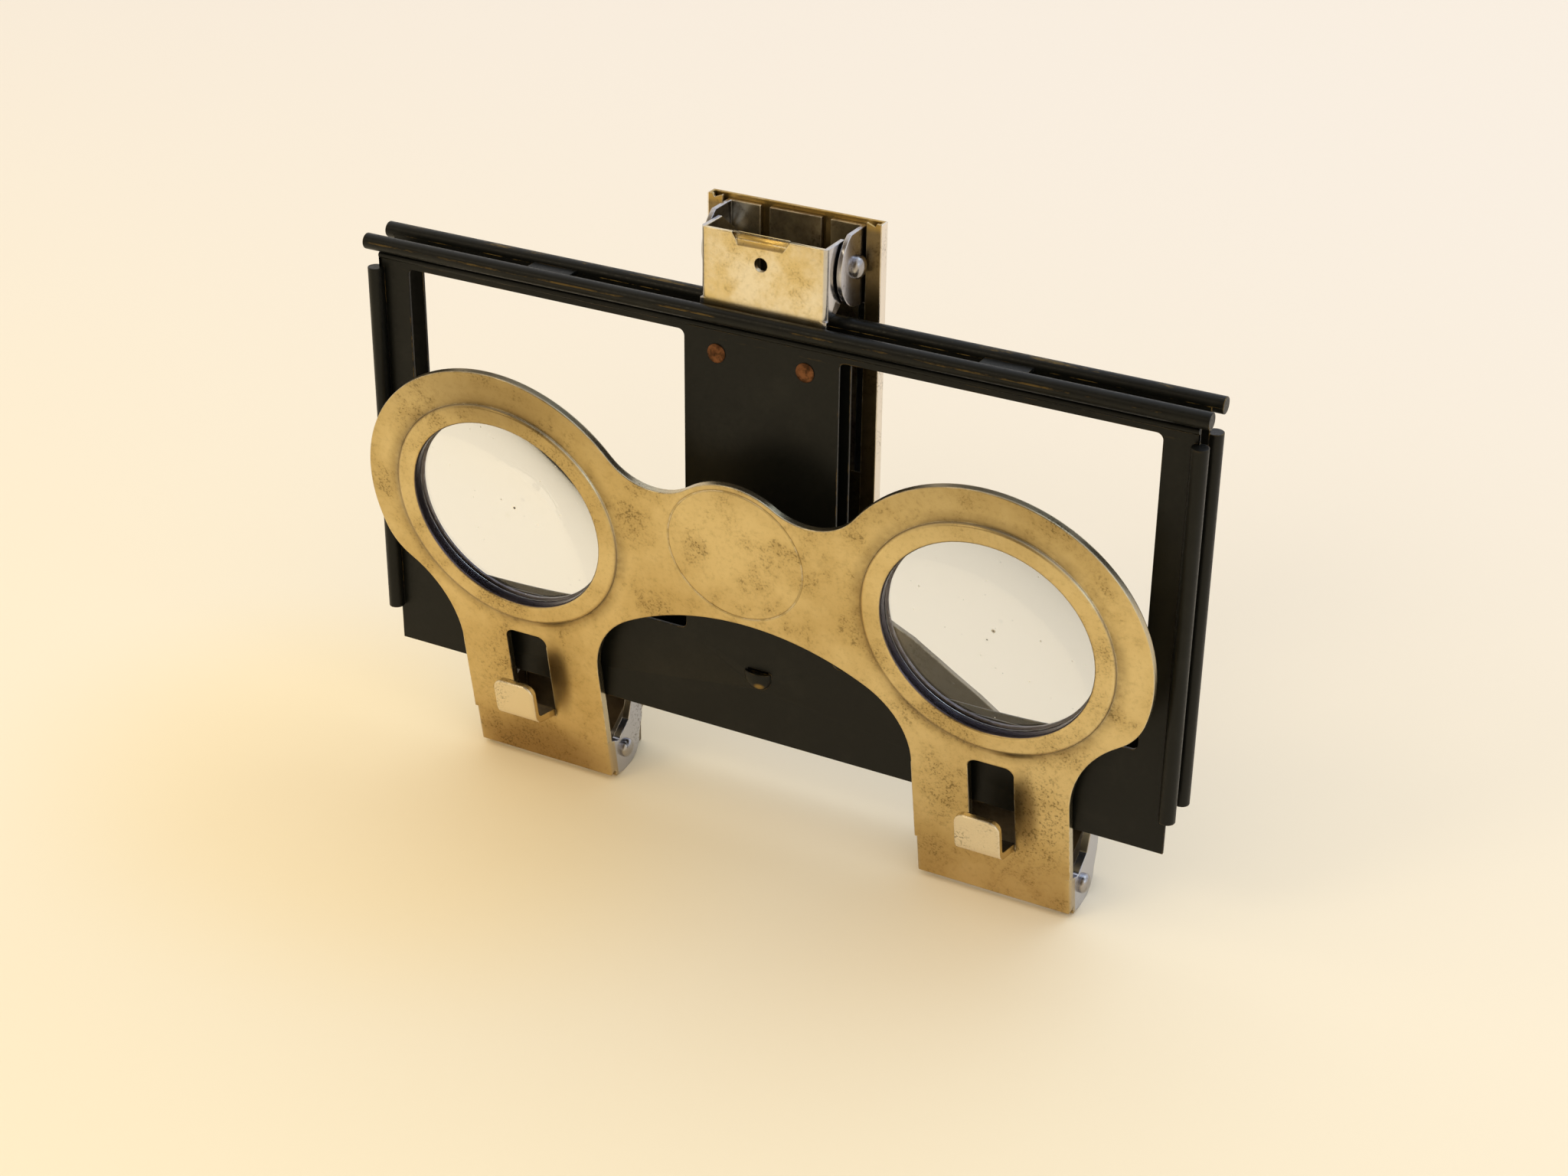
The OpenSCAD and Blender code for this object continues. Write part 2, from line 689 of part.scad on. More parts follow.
// Two rivets with flat heads that hold the bracket to the front sheet
module bracket_rivets() {
  color("#7a4a2e")
    stand_frame()
      for (s = [-1, 1])
        translate([s * rivet_at[0], 0, rivet_at[1]])
          rotate([90, 0, 0]) {
            translate([0, 0, front_y])
              dome(1.2, 0.3);
            translate([0, 0, -brk_front - brk_t])
              cylinder(h = front_y + brk_front + brk_t, r = rivet_r, $fn = 24);
            translate([0, 0, -brk_front - brk_t - 0.35])
              cylinder(h = 0.35, r = 1.3, $fn = 24);
          }
}

side_top = roll_top - 3.2;
side_bot = sheet_bot + 5;
side_x = sheet_hw + 0.35;
hem_z = roll_top - 1.7;
hem_r = 0.4;
shelf_z = pic_bot - shelf_gap;
shelf_hw = sheet_hw - 7.6;
shelf_h = 3.6;
louver_z = pic_bot - 3.9;
louver_hw = 1.9;
tab_x = (pic_in + pic_out) / 2;

/* Outline of a holder sheet with its two picture windows, from z0 up to the rolled edge */
module holder_sheet(z0) {
  difference() {
    translate([-sheet_hw, z0])
      square([2 * sheet_hw, roll_top - z0]);
    for (s = [-1, 1])
      round_rect(s > 0 ? pic_in : -pic_out, s > 0 ? pic_out : -pic_in, pic_bot, pic_top, 0.8);
  }
}

// Front sheet of the slide holder, its edges rolled forward, its foot folded back
module front_frame() {
  color("#1d1d1c")
    stand_frame()
      difference() {
        union() {
          upright(-front_y, sheet_t)
            holder_sheet(sheet_bot);
          rod_x(-sheet_hw - roll_reach, 2 * (sheet_hw + roll_reach), -sheet_back_y - roll_r, roll_top, roll_r);
          // tucked edge of the roll
          rod_x(-sheet_hw, 2 * sheet_hw, -front_y - 0.05, hem_z, hem_r);
          for (s = [-1, 1])
            bar_up(side_bot, side_top - side_bot)
              translate([s * side_x, -sheet_back_y - roll_r])
                circle(r = roll_r, $fn = 24);
          // pressed louver
          translate([0, -front_y + 0.05, louver_z])
            intersection() {
              scale([louver_hw, 1.0, 1.9])
                sphere(r = 1, $fn = 24);
              translate([-4, -2, -4])
                cube([8, 2.05, 4.6]);
            }
        }
        // slit of the louver, open at the top
        translate([-louver_hw + 0.5, -front_y - 0.5, louver_z - 0.7])
          cube([2 * louver_hw - 1, 1.4, 1.5]);
        for (s = [-1, 1])
          translate([s * rivet_at[0], -front_y - 1, rivet_at[1]])
            rotate([-90, 0, 0])
              cylinder(h = 3, r = rivet_r + 0.01, $fn = 24);
      }
}

// Rear sheet of the slide holder, its edges rolled back
module rear_frame() {
  color("#191918")
    stand_frame() {
      upright(rear_y, sheet_t)
        holder_sheet(side_bot);
      rod_x(-sheet_hw - roll_reach + 0.1, 2 * (sheet_hw + roll_reach - 0.1), rear_y + roll_r, roll_top + 0.1, roll_r);
      for (s = [-1, 1]) {
        bar_up(side_bot, side_top - side_bot)
          translate([s * side_x, rear_y + roll_r])
            circle(r = roll_r, $fn = 24);
        // spacer tabs at the top of the slide gap
        translate([s * tab_x - 3, -sheet_back_y, roll_top - 0.2])
          cube([6, slide_gap, sheet_t]);
      }
    }
}

// Angle strip between the two sheets that the slide stands on
module slide_shelf() {
  color("#191918")
    stand_frame() {
      translate([-shelf_hw, -sheet_back_y, shelf_z])
        cube([2 * shelf_hw, slide_gap, sheet_t]);
      translate([-shelf_hw, rear_y - sheet_t, shelf_z - shelf_h])
        cube([2 * shelf_hw, sheet_t, shelf_h + 0.1]);
    }
}

lens_plate();
lens(-ex);  // left_lens
lens(ex);  // right_lens
lens_cell(-ex);  // left_lens_cell
lens_cell(ex);  // right_lens_cell
lens_ring(-ex);  // left_lens_ring
lens_ring(ex);  // right_lens_ring
foot_pin(-leg_out, -leg_in);  // left_foot_pin
foot_pin(leg_in, leg_out);  // right_foot_pin
base_plate();
rail();
rail_rivets();
stop_rivet();
carriage();
pivot_rivet(-1);  // left_pivot_rivet
pivot_rivet(1);  // right_pivot_rivet
pivot_washer(-1);  // left_pivot_washer
pivot_washer(1);  // right_pivot_washer
holder_bracket();
bracket_rivets();
front_frame();
rear_frame();
slide_shelf();
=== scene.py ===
"""Folding pocket stereoscope: finishes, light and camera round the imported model."""

import json
import logging
import math
from dataclasses import dataclass
from enum import Enum
from typing import Any

import bmesh
import bpy
from mathutils import Matrix, Vector

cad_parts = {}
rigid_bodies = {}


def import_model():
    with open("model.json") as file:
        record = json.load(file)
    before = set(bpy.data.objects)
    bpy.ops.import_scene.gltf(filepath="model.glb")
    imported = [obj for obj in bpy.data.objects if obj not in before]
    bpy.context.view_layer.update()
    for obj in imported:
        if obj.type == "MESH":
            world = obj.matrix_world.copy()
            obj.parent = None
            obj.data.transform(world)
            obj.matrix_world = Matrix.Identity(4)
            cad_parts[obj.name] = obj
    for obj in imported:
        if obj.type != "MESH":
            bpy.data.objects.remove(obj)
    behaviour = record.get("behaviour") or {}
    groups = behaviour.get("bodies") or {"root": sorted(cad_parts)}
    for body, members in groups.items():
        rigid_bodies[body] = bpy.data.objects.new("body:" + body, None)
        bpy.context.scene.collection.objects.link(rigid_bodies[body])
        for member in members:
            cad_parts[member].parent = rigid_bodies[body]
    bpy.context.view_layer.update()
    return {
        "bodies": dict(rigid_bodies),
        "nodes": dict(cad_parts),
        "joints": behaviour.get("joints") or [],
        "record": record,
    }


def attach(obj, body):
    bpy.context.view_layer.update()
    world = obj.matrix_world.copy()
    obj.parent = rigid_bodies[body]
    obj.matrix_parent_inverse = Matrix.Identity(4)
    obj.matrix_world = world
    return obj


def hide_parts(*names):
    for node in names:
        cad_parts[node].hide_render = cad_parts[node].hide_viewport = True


LOG = logging.getLogger("stereoscope")
MM = 0.001
SIDES = ("left", "right")
Socket = bpy.types.NodeSocket
Tree = bpy.types.NodeTree
Range = tuple[float, float]
Point = tuple[float, float, float]


class Tone(Enum):
    """Colours of the finishes, as sRGB hex values."""

    NICKEL_GOLD = "#dcc692"
    NICKEL_TAN = "#c6ad76"
    NICKEL_CREAM = "#ebe0c8"
    # Cool nickel for rubbed edges, and a painted bluish highlight on the ears and wings.
    COOL_EDGE_AND_SHEEN = "#bdbec8"
    NICKEL_CUT = "#c4b89c"
    # Painted bright highlight on the rail's walls.
    SHEEN_SILVER = "#f0e8de"
    TARNISH = "#76603c"
    TARNISH_RED = "#8c6030"
    PIT = "#4d4025"
    # Painted shade in corners.
    CORNER_SHADE = "#3b3226"
    BRASS = "#d1ad5c"
    GILT = "#efcb74"
    RAIL_BROWN = "#93805c"
    RAIL_MID = "#7a6848"
    RAIL_DARK = "#4a3f2c"
    BASE_GREY = "#8f8370"
    BASE_DARK = "#756a5a"
    PIN = "#a5a2a3"
    CELL = "#55505a"
    COPPER = "#80563a"
    COPPER_DARK = "#38261a"
    LACQUER = "#0c0d0b"
    LACQUER_DUST = "#1c1c18"
    WORN = "#a08449"
    GLASS = "#fbfcfc"
    DUST = "#f3ead2"
    # Yellower in front as painted warm shade.
    FLOOR_NEAR = "#fdefce"
    FLOOR_FAR = "#f4ece3"
    # Painted pool of warm light on the floor.
    FLOOR_REFLECTED_LIGHT = "#fee6b0"
    ROOM = "#fbeacb"
    ROOM_DIM = "#5c4a33"
    WINDOW = "#eef4ff"


class Axis(Enum):
    """Directions in which a zone of a finish begins; SIDE is outwards from the middle plane."""

    Y = 1
    Z = 2
    SIDE = 3


def linear(tone: Tone) -> tuple[float, float, float, float]:
    """Turns a tone's sRGB hex value into linear RGBA.

    Args:
        tone: The colour to convert.

    Returns:
        Linear red, green, blue and an alpha of 1.
    """
    value = tone.value.lstrip("#")
    parts = [int(value[i : i + 2], 16) / 255 for i in (0, 2, 4)]
    red, green, blue = (c / 12.92 if c <= 0.04045 else ((c + 0.055) / 1.055) ** 2.4 for c in parts)
    return (red, green, blue, 1.0)


def add_node(tree: Tree, kind: str, settings: dict[str, Any] | None = None, **links: Any) -> Any:
    """Adds one node with its settings and its input values or links.

    Args:
        tree: The node tree that gets the node.
        kind: The node's type, without the leading ShaderNode.
        settings: Attributes of the node, such as its operation.
        links: Inputs by name, underscores for spaces, or by number with a leading underscore.
            Each is a value or an output socket.

    Returns:
        The new node.
    """
    node = tree.nodes.new("ShaderNode" + kind)
    for key, value in (settings or {}).items():
        setattr(node, key, value)
    for key, value in links.items():
        socket = node.inputs[int(key[1:])] if key[0] == "_" else node.inputs[key.replace("_", " ")]
        if isinstance(value, Socket):
            tree.links.new(value, socket)
        else:
            socket.default_value = value
    return node


def empty_tree(owner: Any) -> Tree:
    """Switches on the nodes of a material or world and empties its tree.

    Args:
        owner: The material or world.

    Returns:
        The empty tree.
    """
    owner.use_nodes = True
    owner.node_tree.nodes.clear()
    return owner.node_tree


def add_object(name: str, data: Any) -> bpy.types.Object:
    """Adds an object to the scene, at the origin.

    Args:
        name: The object's name.
        data: The mesh, light or camera that it holds.

    Returns:
        The new object.
    """
    added = bpy.data.objects.new(name, data)
    bpy.context.scene.collection.objects.link(added)
    return added


@dataclass(frozen=True)
class Zone:
    """A part of a piece past some plane: plated, worn or fouled in another way, or given a
    painted highlight or painted shade.

    Attributes:
        axis: The direction in which it begins.
        start: Where it begins, in metres.
        full: Where it is whole, in metres.
        tone: Its colour.
        roughness: Its roughness.
        strength: How much of what is below it covers, from 0 to 1.
    """

    axis: Axis
    start: float
    full: float
    tone: Tone
    roughness: float
    strength: float = 1.0


@dataclass(frozen=True)
class Halo:
    """A soft spot of tarnish, pits or wear, or of painted shade or painted light.

    Attributes:
        centre: Its middle, in metres.
        reach: Its half size along each axis, in metres.
        strength: How much of what is below it covers, from 0 to 1.
        tone: Its colour, where it has one of its own.
    """

    centre: Point
    reach: Point
    strength: float
    tone: Tone = Tone.TARNISH


@dataclass(frozen=True)
class Bead:
    """A pair of pressed rings, softly rounded, with tarnish left in the corner round them.

    Attributes:
        centre: Middle of the right ring, across and up; the left ring mirrors it. In metres.
        radius: Outer radius, in metres.
        slope: Half the width of the rounding at the outer radius, in metres.
        height: How far the ring stands out, in metres.
        soil_width: How far the tarnish reaches outwards, in metres.
        soil: Strength of the tarnish, from 0 to 1.
        soil_full: How far outwards the tarnish is whole, in metres.
        foot: Where the ring's foot turns from clean to tarnished, from the radius, in metres.
        bore: Where the cut face turns from plate to cell, from the radius, in metres.
        gap_size: Size of the gaps in the tarnish, in metres.
        gaps: Levels of noise from a gap to whole tarnish.
        gap_soil: Share of the tarnish that is left in a gap.
    """

    centre: Range
    radius: float
    slope: float
    height: float
    soil_width: float
    soil: float
    soil_full: float = 0.2 * MM
    foot: Range = (-0.3 * MM, 0.1 * MM)
    bore: Range = (-1.2 * MM, -2 * MM)
    gap_size: float = 5 * MM
    gaps: Range = (0.35, 0.6)
    gap_soil: float = 0.35

    def at(self, first: float, second: float) -> Range:
        """Returns two radii, each given by its distance from the outer radius."""
        return (self.radius + first, self.radius + second)


@dataclass
class Painter:
    """A maker's words for the patterns of one node tree.

    Attributes:
        tree: The tree that gets the nodes.
        place: The coordinates that the patterns follow.
        cut_face: How far a normal points forwards or backwards, from a sheet's face to its cut.
        spot: Distance from a halo's middle, from nothing to whole.
        worn_edge: Agreement of a rounded normal with the true one, from a flat face to an edge.
        corner: Openness of a point, from a free face to an inner corner.
    """

    tree: Tree
    place: Any
    cut_face: Range = (0.8, 0.55)
    spot: Range = (1.0, 0.35)
    worn_edge: Range = (0.995, 0.86)
    corner: Range = (0.96, 0.62)

    def clouds(
        self, size: float, detail: float = 4.0, roughness: float = 0.6, stretch: Point = (1, 1, 1)
    ) -> Any:
        """Returns cloudy noise with features of that size.

        Args:
            size: Size of the features, in metres.
            detail: Number of finer layers.
            roughness: Strength of the finer layers.
            stretch: Factor on each axis, below 1 to draw the clouds out.

        Returns:
            A socket round 0.5.
        """
        place = self.place
        if stretch != (1, 1, 1):
            drawn = add_node(self.tree, "VectorMath", {"operation": "MULTIPLY"}, _0=place, _1=stretch)
            place = drawn.outputs["Vector"]
        look = {"Scale": 1 / size, "Detail": detail, "Roughness": roughness}
        return add_node(self.tree, "TexNoise", None, Vector=place, **look).outputs["Fac"]

    def ramp(self, value: Any, ends: Range, top: float = 1.0, base: float = 0.0) -> Any:
        """Maps the first end to base and the second to top, smoothly and clamped.

        Args:
            value: The value to map.
            ends: The values that become base and top.
            top: Result at the second end.
            base: Result at the first end.

        Returns:
            A socket between base and top.
        """
        inputs = {"_1": ends[0], "_2": ends[1], "_3": base, "_4": top}
        node = add_node(self.tree, "MapRange", {"interpolation_type": "SMOOTHSTEP"}, _0=value, **inputs)
        return node.outputs["Result"]

    def both(self, first: Any, second: Any) -> Any:
        """Returns where both amounts are: their product."""
        settings = {"operation": "MULTIPLY", "use_clamp": True}
        return add_node(self.tree, "Math", settings, _0=first, _1=second).outputs["Value"]

    def either(self, first: Any, second: Any) -> Any:
        """Returns where either amount is: their sum, at most 1."""
        settings = {"operation": "ADD", "use_clamp": True}
        return add_node(self.tree, "Math", settings, _0=first, _1=second).outputs["Value"]

    def over(self, under: Any, tone: Any, amount: Any) -> Any:
        """Lays a colour over another.

        Args:
            under: The colour below, a tone or a socket.
            tone: The colour on top, a tone or a socket.
            amount: How much of the top one shows, from 0 to 1.

        Returns:
            The socket of the mixed colour.
        """
        ends = [linear(c) if isinstance(c, Tone) else c for c in (under, tone)]
        node = add_node(self.tree, "Mix", {"data_type": "RGBA"}, Factor=amount, _6=ends[0], _7=ends[1])
        return node.outputs[2]

    def toward(self, value: Any, other: Any, amount: Any) -> Any:
        """Moves one plain value towards another by that amount."""
        node = add_node(self.tree, "Mix", {"data_type": "FLOAT"}, Factor=amount, _2=value, _3=other)
        return node.outputs[0]

    def along(self, axis: Axis) -> Any:
        """Measures along an axis, or from the middle plane for SIDE.

        Args:
            axis: The direction to measure in.

        Returns:
            A socket in metres.
        """
        split = add_node(self.tree, "SeparateXYZ", None, Vector=self.place)
        if axis is Axis.SIDE:
            side = add_node(self.tree, "Math", {"operation": "ABSOLUTE"}, _0=split.outputs["X"])
            return side.outputs["Value"]
        return split.outputs[axis.value]

    def facing(self, way: Point) -> Any:
        """Returns how far the place lies in a direction."""
        dot = add_node(self.tree, "VectorMath", {"operation": "DOT_PRODUCT"}, _0=self.place, _1=way)
        return dot.outputs["Value"]

    def radius(self, centre: Range) -> Any:
        """Measures the distance in the XZ plane from a point on the right or its mirror point.

        Args:
            centre: The point, across and up, in metres.

        Returns:
            A socket in metres.
        """
        less = {"operation": "SUBTRACT"}
        across = add_node(self.tree, "Math", less, _0=self.along(Axis.SIDE), _1=centre[0])
        up = add_node(self.tree, "Math", less, _0=self.along(Axis.Z), _1=centre[1])
        flat = add_node(self.tree, "CombineXYZ", None, X=across.outputs["Value"], Y=up.outputs["Value"])
        length = add_node(self.tree, "VectorMath", {"operation": "LENGTH"}, _0=flat.outputs["Vector"])
        return length.outputs["Value"]

    def halo(self, halo: Halo) -> Any:
        """Draws a soft spot.

        Args:
            halo: Its middle, reach and strength.

        Returns:
            A socket from 0 outside to the strength in the middle.
        """
        less, by, size = ({"operation": name} for name in ("SUBTRACT", "DIVIDE", "LENGTH"))
        offset = add_node(self.tree, "VectorMath", less, _0=self.place, _1=halo.centre)
        scaled = add_node(self.tree, "VectorMath", by, _0=offset.outputs["Vector"], _1=halo.reach)
        length = add_node(self.tree, "VectorMath", size, _0=scaled.outputs["Vector"])
        return self.both(self.ramp(length.outputs["Value"], self.spot), halo.strength)

    def cuts(self) -> Any:
        """Finds the cut faces of an upright sheet, which look neither forwards nor backwards.

        Returns:
            A socket from 0 on the sheet's faces to 1 on its cuts.
        """
        normal = add_node(self.tree, "TexCoord").outputs["Normal"]
        split = add_node(self.tree, "SeparateXYZ", None, Vector=normal)
        depth = add_node(self.tree, "Math", {"operation": "ABSOLUTE"}, _0=split.outputs["Y"])
        return self.ramp(depth.outputs["Value"], self.cut_face)

    def edges(self, reach: float, grain: float, breaks: Range = (0.42, 0.6)) -> Any:
        """Finds worn edges: where a rounded normal leaves the true one, broken up by noise.

        Args:
            reach: How far the wear reaches from an edge, in metres.
            grain: Size of the breaks in the wear, in metres.
            breaks: Levels of noise from no wear to whole wear.

        Returns:
            A socket from 0 on flat faces to 1 on worn edges.
        """
        rounded = add_node(self.tree, "Bevel", {"samples": 6}, Radius=reach).outputs["Normal"]
        true = add_node(self.tree, "NewGeometry").outputs["Normal"]
        dot = add_node(self.tree, "VectorMath", {"operation": "DOT_PRODUCT"}, _0=rounded, _1=true)
        return self.both(
            self.ramp(dot.outputs["Value"], self.worn_edge), self.ramp(self.clouds(grain), breaks)
        )

    def corner_shading(self, reach: float) -> Any:
        """Finds the inner corners, which painted shade darkens.

        Args:
            reach: How far the painted shade reaches, in metres.

        Returns:
            A socket from 0 on free faces to 1 in corners.
        """
        settings = {"samples": 8, "only_local": True}
        shade = add_node(self.tree, "AmbientOcclusion", settings, Distance=reach).outputs["AO"]
        return self.ramp(shade, self.corner)

    def relief(self, height: Any, depth: float, strength: float, ease: float) -> Any:
        """Bumps the surface, on edges that look rounded.

        Args:
            height: The pattern that stands out.
            depth: Its depth, in metres.
            strength: Its strength, from 0 to 1.
            ease: Radius of the rounded look, in metres.

        Returns:
            The socket of the normal.
        """
        eased = add_node(self.tree, "Bevel", {"samples": 4}, Radius=ease).outputs["Normal"]
        inputs = {"Distance": depth, "Strength": strength, "Normal": eased}
        return add_node(self.tree, "Bump", None, Height=height, **inputs).outputs["Normal"]


@dataclass(frozen=True)
class Finish:
    """A surface finish that builds its own material, under its own name."""

    name: str

    def build(self) -> bpy.types.Material:
        """Makes the material or returns the one already made.

        Returns:
            The material of this finish.
        """
        made = bpy.data.materials.get(self.name)
        if made:
            return made
        material = bpy.data.materials.new(self.name)
        tree = empty_tree(material)
        shader = self.surface(Painter(tree, add_node(tree, "TexCoord").outputs["Object"]))
        add_node(tree, "OutputMaterial", None, Surface=shader)
        return material

    def surface(self, paint: Painter) -> Any:
        """Builds the shader.

        Args:
            paint: The painter of the material's node tree.

        Returns:
            The shader's output socket.
        """
        raise NotImplementedError


@dataclass(frozen=True)
class PlatedBrass(Finish):
    """Nickel plating over pressed brass sheet: a broad warm gloss, clustered pits, rubbed edges,
    painted shade in corners.

    Attributes:
        base: Colour of the plating.
        warm: Its second colour, in clouds.
        stain: Colour of the tarnish.
        edge: Colour of rubbed edges.
        roughness: Roughness of clean plating.
        bloom: Size of the clouds, in metres.
        blooms: Levels of noise from base to warm.
        mottle_size: Size of the fine mottling, in metres.
        mottles: Levels of noise from clean to mottled.
        mottle_amount: Strength of the mottling.
        patch_share: Size of the tarnished patches as a share of the clouds.
        patches: Levels of noise from clean to tarnished.
        stain_amount: Strength of the tarnish.
        stain_dulls: Roughness that tarnish adds.
        pit_size: Size of the pits, in metres. Real ones are finer; these are as fine as shows.
        pits: Levels of noise from sound plating to a pit.
        pit_amount: Strength of the pits.
        pit_places: Levels of the patches' noise from no pits to all of them.
        pit_breaks: Levels of the mottling from a gap in a cluster to all of its pits.
        pit_depth: Depth of the pits, in metres.
        pit_relief: Strength of the pits in the relief.
        corner_shade_reach: How far the painted shade reaches out of a corner, in metres.
        corner_shade_amount: Strength of the painted shade in corners.
        edge_reach: How far the rubbing reaches from an edge, in metres.
        edge_grain: Size of the breaks in the rubbing, in metres.
        ease: Radius of the rounded look of edges, in metres.
        cut_face_sheen: Painted reflection on the sheet's cut faces, as a cooler colour, where they have
            one.
        rim_roughness: Roughness of the cut faces.
        bead: Pressed rings, where there are any.
        zones: Parts past some plane, some of them painted highlight or painted shade.
        halos: Soft spots of another colour, some of them painted shade.
        pit_clusters: Soft spots with more pits.
    """

    base: Tone = Tone.NICKEL_GOLD
    warm: Tone = Tone.NICKEL_TAN
    stain: Tone = Tone.TARNISH
    edge: Tone = Tone.NICKEL_CREAM
    roughness: float = 0.33
    bloom: float = 16 * MM
    blooms: Range = (0.36, 0.64)
    mottle_size: float = 0.7 * MM
    mottles: Range = (0.46, 0.8)
    mottle_amount: float = 0.3
    patch_share: float = 0.5
    patches: Range = (0.5, 0.76)
    stain_amount: float = 0.25
    stain_dulls: float = 0.22
    pit_size: float = 0.3 * MM
    pits: Range = (0.5, 0.64)
    pit_amount: float = 0.6
    pit_places: Range = (0.47, 0.66)
    pit_breaks: Range = (0.4, 0.55)
    pit_depth: float = 0.015 * MM
    pit_relief: float = 0.3
    corner_shade_reach: float = 0.7 * MM
    corner_shade_amount: float = 0.7
    edge_reach: float = 0.2 * MM
    edge_grain: float = 1.6 * MM
    ease: float = 0.15 * MM
    cut_face_sheen: Tone | None = None
    rim_roughness: float = 0.24
    bead: Bead | None = None
    zones: tuple[Zone, ...] = ()
    halos: tuple[Halo, ...] = ()
    pit_clusters: tuple[Halo, ...] = ()

    def surface(self, paint: Painter) -> Any:
        """Clouds and tarnishes the plating, then lays pits, painted corner shade and rubbed edges
        over it.

        Args:
            paint: The painter of the material's node tree.

        Returns:
            The shader's output socket.
        """
        mottle = paint.clouds(self.mottle_size, 5.0, 0.75)
        patch = paint.clouds(self.bloom * self.patch_share, 5.0, 0.75)
        specks = paint.clouds(self.pit_size, 2.0, 0.6)
        colour, rough = self.plating(paint, mottle, patch)
        colour, rough = self.places(paint, colour, rough)
        colour = paint.over(colour, Tone.PIT, self.pitting(paint, specks, mottle, patch))
        # Painted shade: corners and creases are darkened by their ambient occlusion.
        painted_corner_shade = paint.both(paint.corner_shading(self.corner_shade_reach), self.corner_shade_amount)
        colour = paint.over(colour, Tone.CORNER_SHADE, painted_corner_shade)
        colour = paint.over(colour, self.edge, paint.edges(self.edge_reach, self.edge_grain))
        looks = {"Base_Color": colour, "Roughness": rough, "Normal": self.form(paint, specks)}
        return add_node(paint.tree, "BsdfPrincipled", None, Metallic=1.0, **looks).outputs["BSDF"]

    def plating(self, paint: Painter, mottle: Any, patch: Any) -> tuple[Any, Any]:
        """Clouds the plating and tarnishes it in patches.

        Args:
            paint: The painter of the material's node tree.
            mottle: The fine noise.
            patch: The noise of the patches.

        Returns:
            The colour and the roughness.
        """
        cloud = paint.clouds(self.bloom, 5.0, 0.6)
        colour = paint.over(self.base, self.warm, paint.ramp(cloud, self.blooms))
        colour = paint.over(colour, self.stain, paint.ramp(mottle, self.mottles, self.mottle_amount))
        stain = paint.ramp(patch, self.patches, self.stain_amount)
        rough = paint.toward(self.roughness, self.roughness + self.stain_dulls, stain)
        return paint.over(colour, self.stain, stain), rough

    def places(self, paint: Painter, colour: Any, rough: Any) -> tuple[Any, Any]:
        """Lays the spots, the soil round the rings, the painted reflection on the cut faces and the
        zones over the plating.

        Args:
            paint: The painter of the material's node tree.
            colour: The colour so far.
            rough: The roughness so far.

        Returns:
            The colour and the roughness.
        """
        for halo in self.halos:
            colour = paint.over(colour, halo.tone, paint.halo(halo))
        if self.bead:
            colour = paint.over(colour, self.stain, self.soil(paint, self.bead))
        # Painted reflection: the cut faces get a cooler, glossier tone.
        if self.cut_face_sheen:
            cut = paint.cuts()
            tone: Any = self.cut_face_sheen
            if self.bead:
                radius = paint.radius(self.bead.centre)
                tone = paint.over(self.cut_face_sheen, Tone.CELL, paint.ramp(radius, self.bead.at(*self.bead.bore)))
            colour = paint.over(colour, tone, cut)
            rough = paint.toward(rough, self.rim_roughness, cut)
        for zone in self.zones:
            inside = paint.ramp(paint.along(zone.axis), (zone.start, zone.full), zone.strength)
            colour = paint.over(colour, zone.tone, inside)
            rough = paint.toward(rough, zone.roughness, inside)
        return colour, rough

    def pitting(self, paint: Painter, specks: Any, mottle: Any, patch: Any) -> Any:
        """Gathers pits in the tarnished patches and in the clusters.

        Args:
            paint: The painter of the material's node tree.
            specks: The noise of the pits.
            mottle: The fine noise.
            patch: The noise of the patches.

        Returns:
            A socket from 0 on sound plating to 1 in a pit.
        """
        where = paint.ramp(patch, self.pit_places)
        for cluster in self.pit_clusters:
            dense = paint.both(paint.halo(cluster), paint.ramp(mottle, self.pit_breaks))
            where = paint.either(where, dense)
        return paint.both(paint.ramp(specks, self.pits, self.pit_amount), where)

    def soil(self, paint: Painter, bead: Bead) -> Any:
        """Finds the tarnish that polishing leaves outside a ring, broken up by noise.

        Args:
            paint: The painter of the material's node tree.
            bead: The pressed rings.

        Returns:
            A socket from 0 on clean plating to 1 on tarnish.
        """
        radius = paint.radius(bead.centre)
        near = paint.ramp(radius, bead.at(bead.soil_width, bead.soil_full), bead.soil)
        outside = paint.ramp(radius, bead.at(*bead.foot))
        noise = paint.clouds(bead.gap_size, 4.0, 0.7)
        broken = paint.ramp(noise, bead.gaps, 1.0, bead.gap_soil)
        return paint.both(paint.both(near, outside), broken)

    def form(self, paint: Painter, specks: Any) -> Any:
        """Sinks the pits and rounds the slopes of the pressed rings.

        Args:
            paint: The painter of the material's node tree.
            specks: The noise of the pits.

        Returns:
            The socket of the normal.
        """
        normal = paint.relief(specks, self.pit_depth, self.pit_relief, self.ease)
        if self.bead:
            slope = self.bead.at(self.bead.slope, -self.bead.slope)
            rise = paint.ramp(paint.radius(self.bead.centre), slope)
            inputs = {"Distance": self.bead.height, "Strength": 1.0, "Normal": normal}
            normal = add_node(paint.tree, "Bump", None, Height=rise, **inputs).outputs["Normal"]
        return normal


@dataclass(frozen=True)
class BrightNickel(PlatedBrass):
    """Turned and polished nickel silver, cool and nearly mirror bright."""

    base: Tone = Tone.PIN
    warm: Tone = Tone.PIN
    edge: Tone = Tone.COOL_EDGE_AND_SHEEN
    roughness: float = 0.2
    bloom: float = 2 * MM
    pit_amount: float = 0.3


